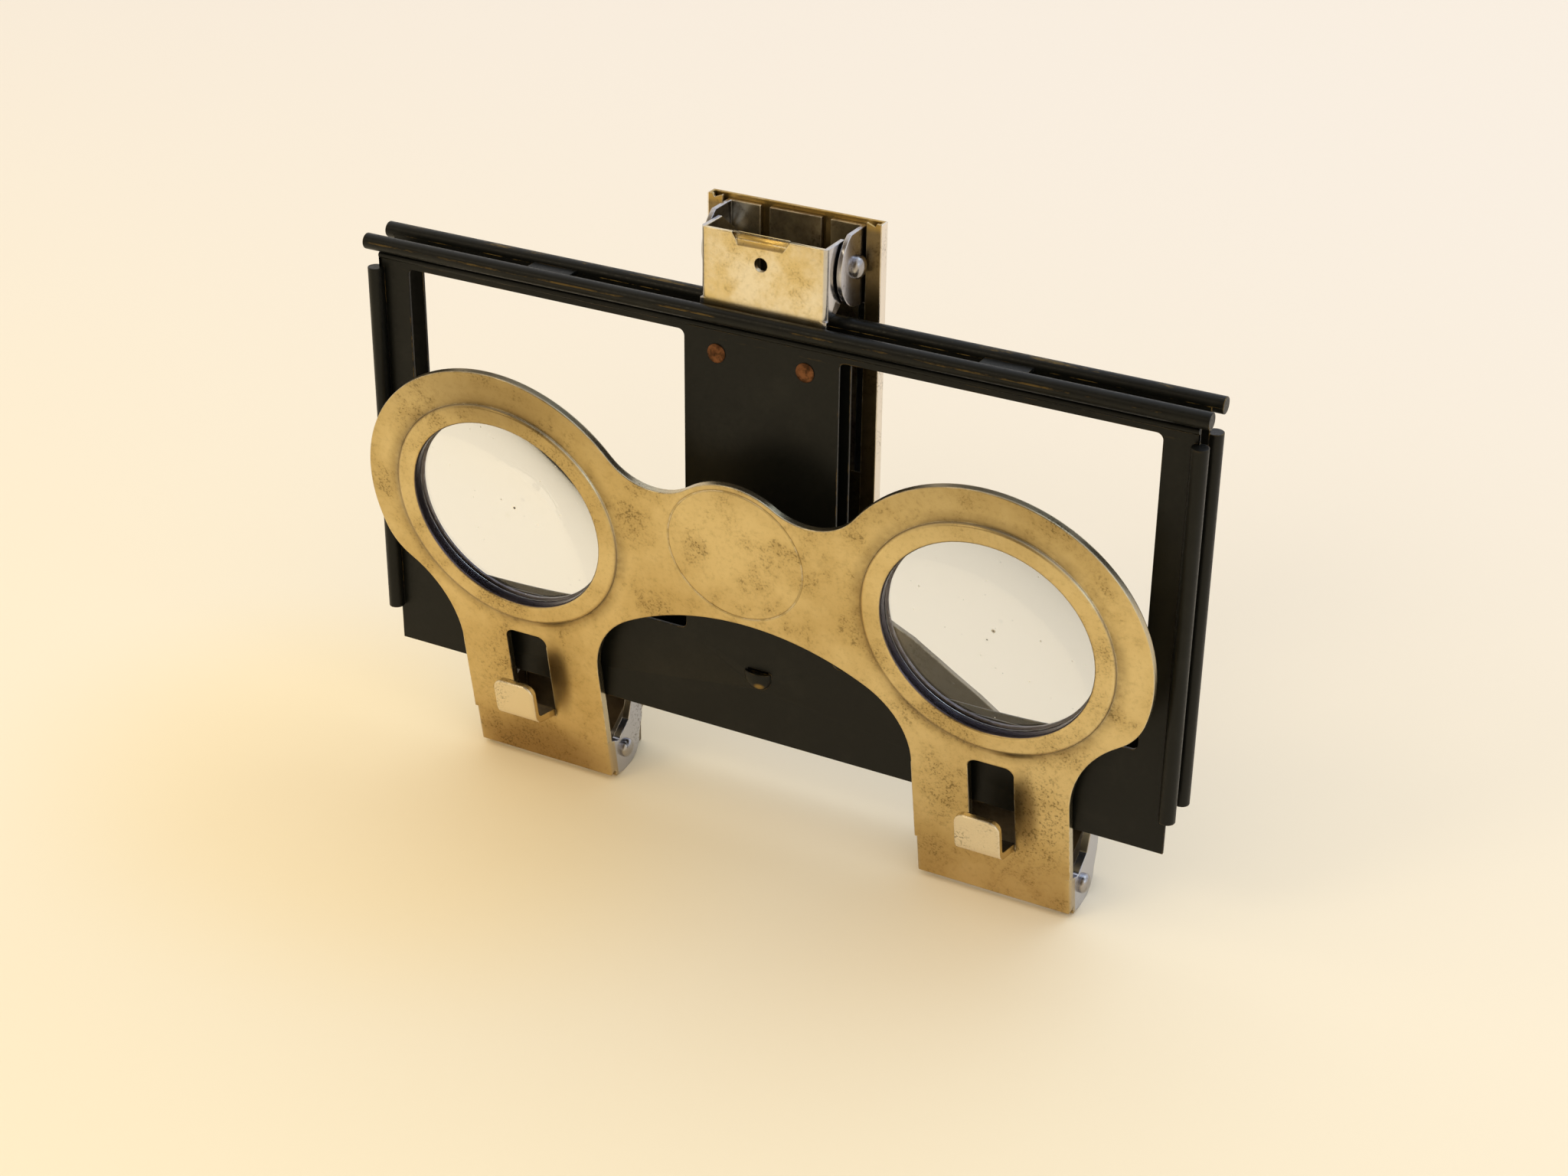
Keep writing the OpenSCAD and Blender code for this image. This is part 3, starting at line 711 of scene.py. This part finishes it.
@dataclass(frozen=True)
class BlackLacquer(Finish):
    """Stoved black lacquer on sheet brass: satin black, rubbed through to gold along its edges.

    Attributes:
        coat: Colour of the lacquer.
        dust: Colour of dusty lacquer.
        dust_size: Size of the dusty patches, in metres.
        dusty: Levels of noise from clean to dusty.
        dust_amount: Strength of the dust.
        grain: Size of the lacquer's flow marks, in metres. Real ones are finer and wouldn't show.
        grain_ends: Levels of noise from dull to glossy.
        roughness: Roughness of the lacquer.
        dull: Roughness that the dull end of the grain adds.
        gloss: Roughness that the glossy end takes away.
        grain_depth: Depth of the flow marks, in metres.
        grain_relief: Strength of the flow marks in the relief.
        ease: Radius of the rounded look of edges, in metres.
        sheen_level: Specular level of the lacquer.
        index: Index of refraction of the lacquer.
        bare: Colour of bare metal.
        bare_roughness: Roughness of bare metal.
        edge_reach: How far the rubbing reaches from an edge, in metres.
        edge_grain: Size of the breaks in the rubbing, in metres.
        edge_breaks: Levels of noise from no rubbing to whole rubbing.
        lines: Height in metres and strength of each rubbed line.
        line_width: Half the width of a line, in metres.
        line_grain: Size of the breaks in a line, in metres.
        line_stretch: Factors that draw the breaks out along the line.
        line_breaks: Levels of noise from no line to whole line.
        bare_spots: Soft spots of bare metal.
    """

    coat: Tone = Tone.LACQUER
    dust: Tone = Tone.LACQUER_DUST
    dust_size: float = 7 * MM
    dusty: Range = (0.45, 0.8)
    dust_amount: float = 0.7
    grain: float = 0.35 * MM
    grain_ends: Range = (0.3, 0.7)
    roughness: float = 0.36
    dull: float = 0.1
    gloss: float = 0.06
    grain_depth: float = 0.012 * MM
    grain_relief: float = 0.35
    ease: float = 0.12 * MM
    sheen_level: float = 0.22
    index: float = 1.5
    bare: Tone = Tone.WORN
    bare_roughness: float = 0.42
    edge_reach: float = 0.16 * MM
    edge_grain: float = 3.0 * MM
    edge_breaks: Range = (0.47, 0.62)
    lines: tuple[Range, ...] = ()
    line_width: float = 0.1 * MM
    line_grain: float = 2.4 * MM
    line_stretch: Point = (0.25, 1, 1)
    line_breaks: Range = (0.5, 0.66)
    bare_spots: tuple[Halo, ...] = ()

    def surface(self, paint: Painter) -> Any:
        """Lays faintly dusty lacquer over bare metal that shows where it is worn.

        Args:
            paint: The painter of the material's node tree.

        Returns:
            The shader's output socket.
        """
        lacquer = self.lacquer(paint)
        inputs = {"Base_Color": linear(self.bare), "Roughness": self.bare_roughness, "Metallic": 1.0}
        metal = add_node(paint.tree, "BsdfPrincipled", None, **inputs).outputs["BSDF"]
        mix = add_node(paint.tree, "MixShader", None, Fac=self.wear(paint), _1=lacquer, _2=metal)
        return mix.outputs["Shader"]

    def lacquer(self, paint: Painter) -> Any:
        """Builds the lacquer itself, faintly dusty, with flow marks.

        Args:
            paint: The painter of the material's node tree.

        Returns:
            The shader's output socket.
        """
        dusty = paint.ramp(paint.clouds(self.dust_size, 6.0, 0.7), self.dusty, self.dust_amount)
        grain = paint.clouds(self.grain, 2.0)
        looks = {
            "Base_Color": paint.over(self.coat, self.dust, dusty),
            "Roughness": paint.ramp(
                grain, self.grain_ends, self.roughness + self.dull, self.roughness - self.gloss
            ),
            "Normal": paint.relief(grain, self.grain_depth, self.grain_relief, self.ease),
            "Specular_IOR_Level": self.sheen_level,
            "IOR": self.index,
        }
        return add_node(paint.tree, "BsdfPrincipled", None, **looks).outputs["BSDF"]

    def wear(self, paint: Painter) -> Any:
        """Finds where the lacquer is rubbed through: at edges, along the lines and in the spots.

        Args:
            paint: The painter of the material's node tree.

        Returns:
            A socket from 0 on lacquer to 1 on bare metal.
        """
        worn = paint.edges(self.edge_reach, self.edge_grain, self.edge_breaks)
        height = paint.along(Axis.Z)
        noise = paint.clouds(self.line_grain, 5.0, 0.8, self.line_stretch)
        broken = paint.ramp(noise, self.line_breaks)
        near = {"operation": "COMPARE"}
        for place, strength in self.lines:
            line = add_node(paint.tree, "Math", near, _0=height, _1=place, _2=self.line_width)
            worn = paint.either(worn, paint.both(paint.both(line.outputs["Value"], strength), broken))
        for spot in self.bare_spots:
            worn = paint.either(worn, paint.halo(spot))
        return worn


@dataclass(frozen=True)
class LensGlass(Finish):
    """Polished crown glass, slightly dusty: clear, with fine pale specks.

    Attributes:
        tint: Colour of the glass.
        dust: Colour of the specks.
        speck_gap: Distance between specks, in metres.
        speck: Distances in gaps from clear glass to a whole speck.
        patch_size: Size of the dusty patches, in metres.
        patches: Levels of noise from clean to dusty.
        patch_amount: Strength of the dust.
        polish: Roughness of clean glass.
        dull: Roughness of a speck.
        index: Index of refraction of crown glass.
    """

    tint: Tone = Tone.GLASS
    dust: Tone = Tone.DUST
    speck_gap: float = 1.5 * MM
    speck: Range = (0.1, 0.05)
    patch_size: float = 4 * MM
    patches: Range = (0.45, 0.65)
    patch_amount: float = 0.6
    polish: float = 0.01
    dull: float = 0.6
    index: float = 1.52

    def surface(self, paint: Painter) -> Any:
        """Clears the glass and scatters dust specks over it.

        Args:
            paint: The painter of the material's node tree.

        Returns:
            The shader's output socket.
        """
        inputs = {"Vector": paint.place, "Scale": 1 / self.speck_gap, "Randomness": 1.0}
        cells = add_node(paint.tree, "TexVoronoi", {"feature": "F1"}, **inputs)
        noise = paint.clouds(self.patch_size, 3.0)
        dusty = paint.ramp(noise, self.patches, self.patch_amount)
        specks = paint.both(paint.ramp(cells.outputs["Distance"], self.speck), dusty)
        clear = add_node(paint.tree, "Math", {"operation": "SUBTRACT"}, _0=1.0, _1=specks)
        looks = {
            "Base_Color": paint.over(self.tint, self.dust, specks),
            "Roughness": paint.toward(self.polish, self.dull, specks),
            "Transmission_Weight": clear.outputs["Value"],
            "IOR": self.index,
        }
        return add_node(paint.tree, "BsdfPrincipled", None, **looks).outputs["BSDF"]


@dataclass(frozen=True)
class PalePaper(Finish):
    """Pale matt paper under warm light: soft and without gloss, yellower towards the front left
    as painted warm shade, with a painted pool of warm light beside the left leg.

    Attributes:
        near: Colour in front, yellower as painted warm shade.
        far: Colour behind.
        way: Direction from front to back.
        depth: Where the colour begins to turn and where it has turned, in metres along the way.
        reflected_light: Painted pool of warm light in the shadow beside the left leg.
        roughness: Roughness of the paper.
    """

    near: Tone = Tone.FLOOR_NEAR
    far: Tone = Tone.FLOOR_FAR
    way: Point = (0.15, 1.0, 0.0)
    depth: Range = (-0.16, 0.22)
    # Painted pool of warm light in the shadow beside the left leg.
    reflected_light: Halo = Halo((-0.05, -0.022, 0.0), (0.065, 0.045, 1.0), 0.5, Tone.FLOOR_REFLECTED_LIGHT)
    roughness: float = 0.7

    def surface(self, paint: Painter) -> Any:
        """Warms the paper towards the front and in the spot, as painted shade and painted light.

        Args:
            paint: The painter of the material's node tree.

        Returns:
            The shader's output socket.
        """
        # Painted warm shade towards the front.
        colour = paint.over(self.near, self.far, paint.ramp(paint.facing(self.way), self.depth))
        # Painted pool of warm light.
        colour = paint.over(colour, self.reflected_light.tone, paint.halo(self.reflected_light))
        looks = {"Base_Color": colour, "Roughness": self.roughness}
        return add_node(paint.tree, "BsdfPrincipled", None, **looks).outputs["BSDF"]


# Polished nickel silver gives the eye small, cool, sharp highlights on the domed heads.
PIN_NICKEL = BrightNickel("bright_nickel_pins")


@dataclass(frozen=True)
class Easing:
    """How the cut edges of a folded sheet are rounded, and which ones stay sharp.

    Attributes:
        width: Width of the rounding, in metres; 0 only smooths the shading.
        above: Height over which edges are rounded, in metres.
        shortest: Length from which edges are rounded, in metres.
        sharp: Angle between faces from which an edge counts as sharp, in degrees.
    """

    width: float = 0.0
    above: float = -1.0
    shortest: float = 0.0
    sharp: float = 35.0

    def takes(self, edge: bmesh.types.BMEdge) -> bool:
        """Tells whether an edge is rounded: a sharp one, long enough and high enough.

        Args:
            edge: The edge to judge.

        Returns:
            True where the edge is rounded.
        """
        if len(edge.link_faces) != 2 or edge.calc_face_angle(0.0) < math.radians(self.sharp):
            return False
        return edge.calc_length() > self.shortest and min(v.co.z for v in edge.verts) > self.above


@dataclass
class SubAssembly:
    """A group of pieces on one body, each with its finish.

    Attributes:
        frame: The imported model.
        body: The body that the pieces move with.
        weld: Distance within which loose corners are merged, in metres.
        flat_angle: Angle up to which faces count as one flat face, in degrees.
        smooth_angle: Angle up to which the shading runs over an edge, in degrees.
        upright: How far a normal points forwards or backwards on a sheet's flat face.
    """

    frame: dict[str, Any]
    body: str = ""
    weld: float = 0.001 * MM
    flat_angle: float = 0.6
    smooth_angle: float = 20.0
    upright: float = 0.999

    def pieces(self) -> dict[str, Finish]:
        """Returns the finish of each piece by its name."""
        raise NotImplementedError

    def easings(self) -> dict[str, Easing]:
        """Returns how the edges of the folded sheets are eased, by piece."""
        return {}

    def dress(self) -> None:
        """Gives each piece its finish, on an eased copy where it has one."""
        easings = self.easings()
        for name, finish in self.pieces().items():
            piece = self.ease(name, easings[name]) if name in easings else self.frame["nodes"][name]
            piece.data.materials.clear()
            piece.data.materials.append(finish.build())
            LOG.info("%s wears %s", piece.name, finish.name)

    def ease(self, name: str, easing: Easing) -> bpy.types.Object:
        """Puts a copy with rounded edges in the place of a piece.

        Args:
            name: The CAD node's name.
            easing: The rounding of its edges.

        Returns:
            The copy, on the same body.
        """
        mesh = self.eased_mesh(name, easing)
        piece = add_object(mesh.name, mesh)
        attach(piece, self.body)
        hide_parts(name)
        return piece

    def eased_mesh(self, name: str, easing: Easing) -> bpy.types.Mesh:
        """Copies a piece's mesh, merges its corners, rounds its edges and smooths what is turned.

        Args:
            name: The CAD node's name.
            easing: The rounding of its edges.

        Returns:
            The new mesh. The CAD node's own stays as it is.
        """
        bm = bmesh.new()
        bm.from_mesh(self.frame["nodes"][name].data)
        bmesh.ops.remove_doubles(bm, verts=bm.verts, dist=self.weld)
        if easing.width:
            self.round_edges(bm, easing)
        for face in bm.faces:
            face.smooth = True
        for edge in bm.edges:
            upright = {abs(face.normal.y) > self.upright for face in edge.link_faces}
            gentle = edge.calc_face_angle(0.0) < math.radians(self.smooth_angle)
            edge.smooth = len(upright) == 1 and gentle
        mesh = bpy.data.meshes.new(f"finished_{name}")
        bm.to_mesh(mesh)
        bm.free()
        return mesh

    def round_edges(self, bm: bmesh.types.BMesh, easing: Easing) -> None:
        """Merges the flat faces of a mesh and rounds its sharp edges.

        Args:
            bm: The mesh, which is changed.
            easing: The rounding of its edges.
        """
        flat = math.radians(self.flat_angle)
        bmesh.ops.dissolve_limit(bm, angle_limit=flat, verts=bm.verts, edges=bm.edges)
        bmesh.ops.bevel(
            bm,
            geom=[edge for edge in bm.edges if easing.takes(edge)],
            offset=easing.width,
            offset_type="OFFSET",
            segments=2,
            profile=0.5,
            affect="EDGES",
            clamp_overlap=False,
            material=-1,
        )
        bmesh.ops.triangulate(bm, faces=bm.faces)


@dataclass
class Viewer(SubAssembly):
    """Lens plate with its hooks and feet, the lenses in their cells, and the foot pins.

    Attributes:
        lens_x: Distance of a lens's middle from the middle plane.
        lens_z: Height of a lens's middle.
        ring_r: Outer radius of the raised rings.
        leg_x: Distance of a leg's middle from the middle plane.
        window_z: Height of the middle of a leg's window.
        face_y: Depth of the plate's face.
        through: Half the depth of a spot, which is more than the plate's.
        hook_front: Depth past which the hooks are polished.
        ear_sheen_front: Depth past which the ears get a painted bluish highlight and less roughness.
        ease_above: Height over which the plate's edges are rounded, clear of the ears.
    """

    body: str = "viewer"
    lens_x: float = 32.5 * MM
    lens_z: float = 39.5 * MM
    ring_r: float = 16.0 * MM
    leg_x: float = 32.5 * MM
    window_z: float = 15.5 * MM
    face_y: float = -8 * MM
    through: float = 20 * MM
    hook_front: float = -9.6 * MM
    ear_sheen_front: float = -7.2 * MM
    ease_above: float = 10.5 * MM

    def easings(self) -> dict[str, Easing]:
        """Rounds the plate's edges above the ears and smooths the turned parts.

        Returns:
            The easing of each eased piece by its name.
        """
        turned = ("lens", "lens_cell", "lens_ring", "foot_pin")
        smooth = {f"{side}_{part}": Easing() for side in SIDES for part in turned}
        return {"lens_plate": Easing(0.14 * MM, above=self.ease_above)} | smooth

    def spot(self, x: float, z: float, wide: float, high: float, strength: float) -> Halo:
        """Returns a spot on the plate's face, by its middle, half width and half height."""
        return Halo((x, self.face_y, z), (wide, self.through, high), strength)

    def plate(self) -> PlatedBrass:
        """Makes the plate's finish.

        Satin nickel gives the eye a broad, soft, warm gloss. The hooks are brighter; the ears get a
        painted bluish highlight and the cut faces a painted reflection. Tarnish stays round the
        rings and at the feet; painted shade darkens the plate beside the windows, over the upper
        left lobe and towards the lobes' tops.

        Returns:
            The finish.
        """
        leg = self.leg_x
        # Painted shade of each hook, on the plate beside its leg's window.
        hook_shade_x = [side * leg + 4.2 * MM for side in (-1, 1)]
        return PlatedBrass(
            "satin_nickel_plate",
            ease=0.22 * MM,
            # Painted reflection on the cut faces.
            cut_face_sheen=Tone.NICKEL_CUT,
            bead=Bead(
                centre=(self.lens_x, self.lens_z),
                radius=self.ring_r,
                slope=0.7 * MM,
                height=0.35 * MM,
                soil_width=1.9 * MM,
                soil=0.48,
            ),
            zones=(
                Zone(Axis.Z, 14 * MM, 1 * MM, Tone.TARNISH_RED, 0.4, 0.3),
                # Painted shade, darker towards the lobes' tops.
                Zone(Axis.Z, 46 * MM, 60 * MM, Tone.TARNISH, 0.36, 0.4),
                Zone(Axis.Y, self.hook_front, self.hook_front - 0.6 * MM, Tone.NICKEL_CREAM, 0.2, 0.8),
                # Painted bluish highlight on the ears behind the plate.
                Zone(Axis.Y, self.ear_sheen_front, self.ear_sheen_front + 0.3 * MM, Tone.COOL_EDGE_AND_SHEEN, 0.22),
            ),
            halos=(
                # Painted shade of the hooks beside the windows.
                self.spot(hook_shade_x[0], self.window_z, 2.4 * MM, 7.5 * MM, 0.8),
                self.spot(hook_shade_x[1], self.window_z, 2.4 * MM, 7.5 * MM, 0.8),
                self.spot(-leg, 2 * MM, 13 * MM, 7 * MM, 0.55),
                # Painted shade over the upper left lobe.
                self.spot(-leg, 56 * MM, 13 * MM, 5 * MM, 0.35),
            ),
            pit_clusters=(
                self.spot(leg + 6.5 * MM, 15 * MM, 5 * MM, 11 * MM, 1.0),
                self.spot(leg - 7 * MM, 15 * MM, 3.5 * MM, 8 * MM, 0.6),
                self.spot(-leg - 6 * MM, 12 * MM, 4 * MM, 8 * MM, 0.4),
            ),
        )

    def pieces(self) -> dict[str, Finish]:
        """Chooses the satin plate, clear lenses, dark cells and bright pins.

        Returns:
            The finish of each piece by its name.
        """
        # Darkened brass gives the eye a deep violet grey with a thin bright edge.
        cell = PlatedBrass(
            "darkened_brass_cell",
            base=Tone.CELL,
            warm=Tone.CELL,
            stain=Tone.PIT,
            edge=Tone.COOL_EDGE_AND_SHEEN,
            roughness=0.3,
        )
        # Crown glass gives the eye what is behind it, a little shifted, and a few pale specks.
        glass = LensGlass("crown_glass")
        finishes: dict[str, Finish] = {"lens_plate": self.plate()}
        for side in SIDES:
            finishes[f"{side}_lens"] = glass
            finishes[f"{side}_lens_cell"] = cell
            finishes[f"{side}_lens_ring"] = cell
            finishes[f"{side}_foot_pin"] = PIN_NICKEL
        return finishes


@dataclass
class Stand(SubAssembly):
    """Base plate and channel rail with their rivets.

    Attributes:
        rail_sheen_wall: Distance from the middle plane past which the rail's walls get a painted bright
            highlight.
        rail_end: Height past which the rail's end is gilt.
    """

    body: str = "stand"
    rail_sheen_wall: float = 11.2 * MM
    rail_end: float = 77.0 * MM

    def easings(self) -> dict[str, Easing]:
        """Rounds the edges of the rail and the base plate and smooths the rivets."""
        sheets = {"rail": Easing(0.08 * MM), "base_plate": Easing(0.12 * MM)}
        return sheets | {"rail_rivets": Easing(), "stop_rivet": Easing()}

    def pieces(self) -> dict[str, Finish]:
        """Chooses the worn base, kept dark as painted shade, and the rail with the painted highlight
        on its walls and its gilt end.

        Returns:
            The finish of each piece by its name.
        """
        # Nickel worn thin gives the eye a dull grey brown in which the brass shows through; the tone
        # is also darkened as painted shade, for the shade that falls on the base's front.
        base = PlatedBrass(
            "worn_and_shaded_nickel_base",
            base=Tone.BASE_GREY,
            warm=Tone.BASE_DARK,
            stain=Tone.RAIL_DARK,
            stain_amount=0.4,
            bloom=12 * MM,
            roughness=0.36,
        )
        # Worn brass gives the eye a dark olive brown; the outer walls get a painted bright highlight.
        rail = PlatedBrass(
            "worn_brass_rail",
            base=Tone.RAIL_BROWN,
            warm=Tone.RAIL_MID,
            stain=Tone.RAIL_DARK,
            stain_amount=0.4,
            bloom=12 * MM,
            zones=(
                Zone(Axis.Z, self.rail_end, self.rail_end + 0.9 * MM, Tone.BRASS, 0.4, 0.6),
                # Painted bright highlight on the outer walls.
                Zone(Axis.SIDE, self.rail_sheen_wall, self.rail_sheen_wall + 0.1 * MM, Tone.SHEEN_SILVER, 0.2, 0.9),
            ),
        )
        return {"base_plate": base, "rail": rail, "rail_rivets": rail, "stop_rivet": rail}


@dataclass
class Slider(SubAssembly):
    """Carriage with its pivot rivets and washers.

    Attributes:
        ear_sheen_x: Distance from the middle plane past which the carriage's ears get a painted cool
            highlight.
    """

    body: str = "slider"
    ear_sheen_x: float = 8.4 * MM

    def easings(self) -> dict[str, Easing]:
        """Rounds the edges of the carriage and smooths its rivets."""
        return {"carriage": Easing(0.08 * MM)} | {f"{side}_pivot_rivet": Easing() for side in SIDES}

    def pieces(self) -> dict[str, Finish]:
        """Chooses the dark carriage with a painted highlight on its ears, bright rivets and brass
        washers.

        Returns:
            The finish of each piece by its name.
        """
        # Worn nickel gives the eye a dark, blotched grey; the ears get a painted cool highlight.
        carriage = PlatedBrass(
            "worn_nickel_carriage",
            base=Tone.NICKEL_CUT,
            warm=Tone.BASE_GREY,
            stain=Tone.RAIL_DARK,
            bloom=5 * MM,
            # Painted cool highlight on the ears.
            zones=(Zone(Axis.SIDE, self.ear_sheen_x, self.ear_sheen_x + 0.1 * MM, Tone.COOL_EDGE_AND_SHEEN, 0.18, 0.9),),
        )
        # Bare brass gives the eye a thin yellow line in the gap between ear and bracket.
        washer = PlatedBrass("brass_washer", base=Tone.BRASS, warm=Tone.RAIL_BROWN, bloom=2 * MM)
        finishes: dict[str, Finish] = {"carriage": carriage}
        for side in SIDES:
            finishes[f"{side}_pivot_rivet"] = PIN_NICKEL
            finishes[f"{side}_pivot_washer"] = washer
        return finishes


@dataclass
class Holder(SubAssembly):
    """Slide holder with its bracket and copper rivets.

    Attributes:
        wing_sheen_x: Distance from the middle plane past which the bracket's wings get a painted cool
            highlight.
        bracket_foot: Height of the bracket's lower edge in front.
        worn_lip: The worn lip at the bracket's top edge.
        rubbed_lines: Height and strength of the lines rubbed along the rolled edges.
        rubbed_louver: The louver in the front sheet, rubbed through.
    """

    body: str = "holder"
    wing_sheen_x: float = 7.6 * MM
    bracket_foot: float = 67.5 * MM
    worn_lip: Halo = Halo(
        (-0.3 * MM, 4.6 * MM, 77.6 * MM), (4.6 * MM, 1.6 * MM, 1.5 * MM), 0.9, Tone.GILT
    )
    rubbed_lines: tuple[Range, ...] = ((68.75 * MM, 0.36), (65.2 * MM, 0.1))
    rubbed_louver: Halo = Halo((0.5 * MM, -6.8 * MM, 21.4 * MM), (0.9 * MM, 0.9 * MM, 0.7 * MM), 0.7)

    def easings(self) -> dict[str, Easing]:
        """Rounds the long edges of the bracket and the edges of the black sheets.

        Returns:
            The easing of each eased piece by its name.
        """
        return {
            "holder_bracket": Easing(0.1 * MM, shortest=0.6 * MM),
            "bracket_rivets": Easing(),
            "front_frame": Easing(0.06 * MM),
            "rear_frame": Easing(0.06 * MM),
        }

    def pieces(self) -> dict[str, Finish]:
        """Chooses the polished bracket, the copper rivets and the black sheets.

        Returns:
            The finish of each piece by its name.
        """
        low = self.bracket_foot
        # Polished nickel gives the eye a pale gold mirror, darker towards its lower edge where it
        # meets the sheet; its wings get a painted cool highlight.
        bracket = PlatedBrass(
            "polished_nickel_bracket",
            base=Tone.NICKEL_CREAM,
            warm=Tone.NICKEL_GOLD,
            roughness=0.24,
            stain_amount=0.12,
            bloom=6 * MM,
            pit_amount=0.3,
            # Weaker painted shade in corners.
            corner_shade_amount=0.4,
            zones=(
                # Darker towards the lower edge, where the bracket meets the sheet.
                Zone(Axis.Z, low + 2.5 * MM, low - 1 * MM, Tone.TARNISH, 0.4, 0.6),
                # Painted cool highlight on the wings.
                Zone(Axis.SIDE, self.wing_sheen_x, self.wing_sheen_x + 0.3 * MM, Tone.COOL_EDGE_AND_SHEEN, 0.16, 0.8),
            ),
            halos=(self.worn_lip,),
        )
        # Dull copper gives the eye a red brown that hardly shines.
        copper = PlatedBrass(
            "dull_copper_rivet",
            base=Tone.COPPER,
            warm=Tone.COPPER_DARK,
            stain=Tone.COPPER_DARK,
            edge=Tone.COPPER,
            roughness=0.5,
            bloom=1.2 * MM,
        )
        # Stoved lacquer gives the eye a satin black, with fine gold wear on the rolled edges.
        lacquer = BlackLacquer(
            "stoved_black_lacquer", lines=self.rubbed_lines, bare_spots=(self.rubbed_louver,)
        )
        sheets = dict.fromkeys(("front_frame", "rear_frame", "slide_shelf"), lacquer)
        return {"holder_bracket": bracket, "bracket_rivets": copper} | sheets


@dataclass(frozen=True)
class Lamp:
    """One soft disc lamp: its place and size in metres, its power in watts and its colour."""

    name: str
    place: Point
    size: float
    power: float
    colour: Point


@dataclass
class Studio:
    """Pale floor, soft lamps and the camera at the photograph's place.

    Attributes:
        floor_half: Half the floor's side, in metres.
        focal_px: Focal length, in pixels of the photograph.
        image_px: Size of the photograph.
        sensor: Width of the camera's sensor, in millimetres.
        nearest: Distance from which the camera sees, in metres.
        camera_at: Place of the camera, in millimetres.
        right: The camera's axis to the right.
        down: The camera's axis downwards.
        forward: The camera's axis forwards.
        room_light: Strength of the room's light.
        window_way: Direction of the window.
        window_ends: How far a ray points to the window, from room to window.
        dim_way: Direction of the dim corner that metal mirrors.
        dim_ends: How far a ray points to the corner, from room to corner.
        dim_amount: Strength of the dim corner.
        aim: The point that the lamps look at, in metres.
        lamps: The lamps.
    """

    floor_half: float = 6.0
    focal_px: float = 3493.94
    image_px: tuple[int, int] = (2048, 1536)
    sensor: float = 36.0
    nearest: float = 0.01
    camera_at: Point = (137.63, -226.04, 223.69)
    right: Point = (0.8791, 0.4716, -0.0693)
    down: Point = (0.2289, -0.5451, -0.8065)
    forward: Point = (-0.4181, 0.6932, -0.5871)
    room_light: float = 1.055
    window_way: Point = (0.42, 0.72, 0.55)
    window_ends: Range = (0.0, 0.9)
    dim_way: Point = (-0.2, -0.68, 0.7)
    dim_ends: Range = (0.62, 0.92)
    dim_amount: float = 0.9
    aim: Point = (0.0, 0.0, 0.04)
    lamps: tuple[Lamp, ...] = (
        Lamp("window", (0.30, 0.42, 0.62), 0.5, 0.7, (0.6, 0.82, 1.0)),
        Lamp("ceiling", (-0.29, -0.39, 0.5), 0.2, 0.38, (1.0, 0.86, 0.6)),
        Lamp("side", (0.75, -0.05, 0.35), 0.3, 0.3, (0.6, 0.8, 1.0)),
    )

    def build(self) -> None:
        """Sets up everything that isn't the object."""
        self.floor()
        self.world()
        for lamp in self.lamps:
            self.hang(lamp)
        self.camera()

    def floor(self) -> None:
        """Lays the pale paper floor."""
        bm = bmesh.new()
        bmesh.ops.create_grid(bm, x_segments=1, y_segments=1, size=self.floor_half)
        mesh = bpy.data.meshes.new("floor")
        bm.to_mesh(mesh)
        bm.free()
        mesh.materials.append(PalePaper("pale_paper").build())
        floor = add_object("floor", mesh)

    def world(self) -> None:
        """Surrounds the scene with the warm light of a room and the cool light of a window."""
        world = bpy.data.worlds.new("soft_room")
        bpy.context.scene.world = world
        tree = empty_tree(world)
        paint = Painter(tree, add_node(tree, "TexCoord").outputs["Generated"])
        window = paint.ramp(paint.facing(self.window_way), self.window_ends)
        colour = paint.over(Tone.ROOM, Tone.WINDOW, window)
        ray = add_node(tree, "LightPath").outputs
        dim = paint.ramp(paint.facing(self.dim_way), self.dim_ends, self.dim_amount)
        colour = paint.over(colour, Tone.ROOM_DIM, paint.both(dim, ray["Is Glossy Ray"]))
        colour = paint.over(colour, Tone.FLOOR_FAR, ray["Is Camera Ray"])
        sky = add_node(tree, "Background", None, Color=colour, Strength=self.room_light)
        add_node(tree, "OutputWorld", None, Surface=sky.outputs["Background"])

    def hang(self, lamp: Lamp) -> None:
        """Hangs one lamp and turns it to the object.

        Args:
            lamp: Its place, size, power and colour.
        """
        light = bpy.data.lights.new(lamp.name, "AREA")
        light.shape = "DISK"
        light.size = lamp.size
        light.energy = lamp.power
        light.color = lamp.colour
        holder = add_object(lamp.name, light)
        holder.location = lamp.place
        way = Vector(self.aim) - Vector(lamp.place)
        holder.rotation_euler = way.to_track_quat("-Z", "Y").to_euler()

    def camera(self) -> None:
        """Puts the camera where the photograph's was, by its solved place and axes."""
        data = bpy.data.cameras.new("camera")
        data.sensor_width = self.sensor
        data.lens = self.focal_px * self.sensor / self.image_px[0]
        data.clip_start = self.nearest
        camera = add_object("camera", data)
        up, back = ([-c for c in axis] for axis in (self.down, self.forward))
        turn = Matrix((self.right, up, back)).transposed()
        camera.matrix_world = Matrix.Translation(Vector(self.camera_at) * MM) @ turn.to_4x4()
        bpy.context.scene.camera = camera


def main() -> None:
    """Builds the scene."""
    logging.basicConfig(level=logging.INFO, format="%(message)s")
    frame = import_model()
    for make in (Viewer, Stand, Slider, Holder):
        make(frame).dress()
    Studio().build()
    bpy.context.scene.view_settings.view_transform = "Standard"


if __name__ == "__main__":
    main()
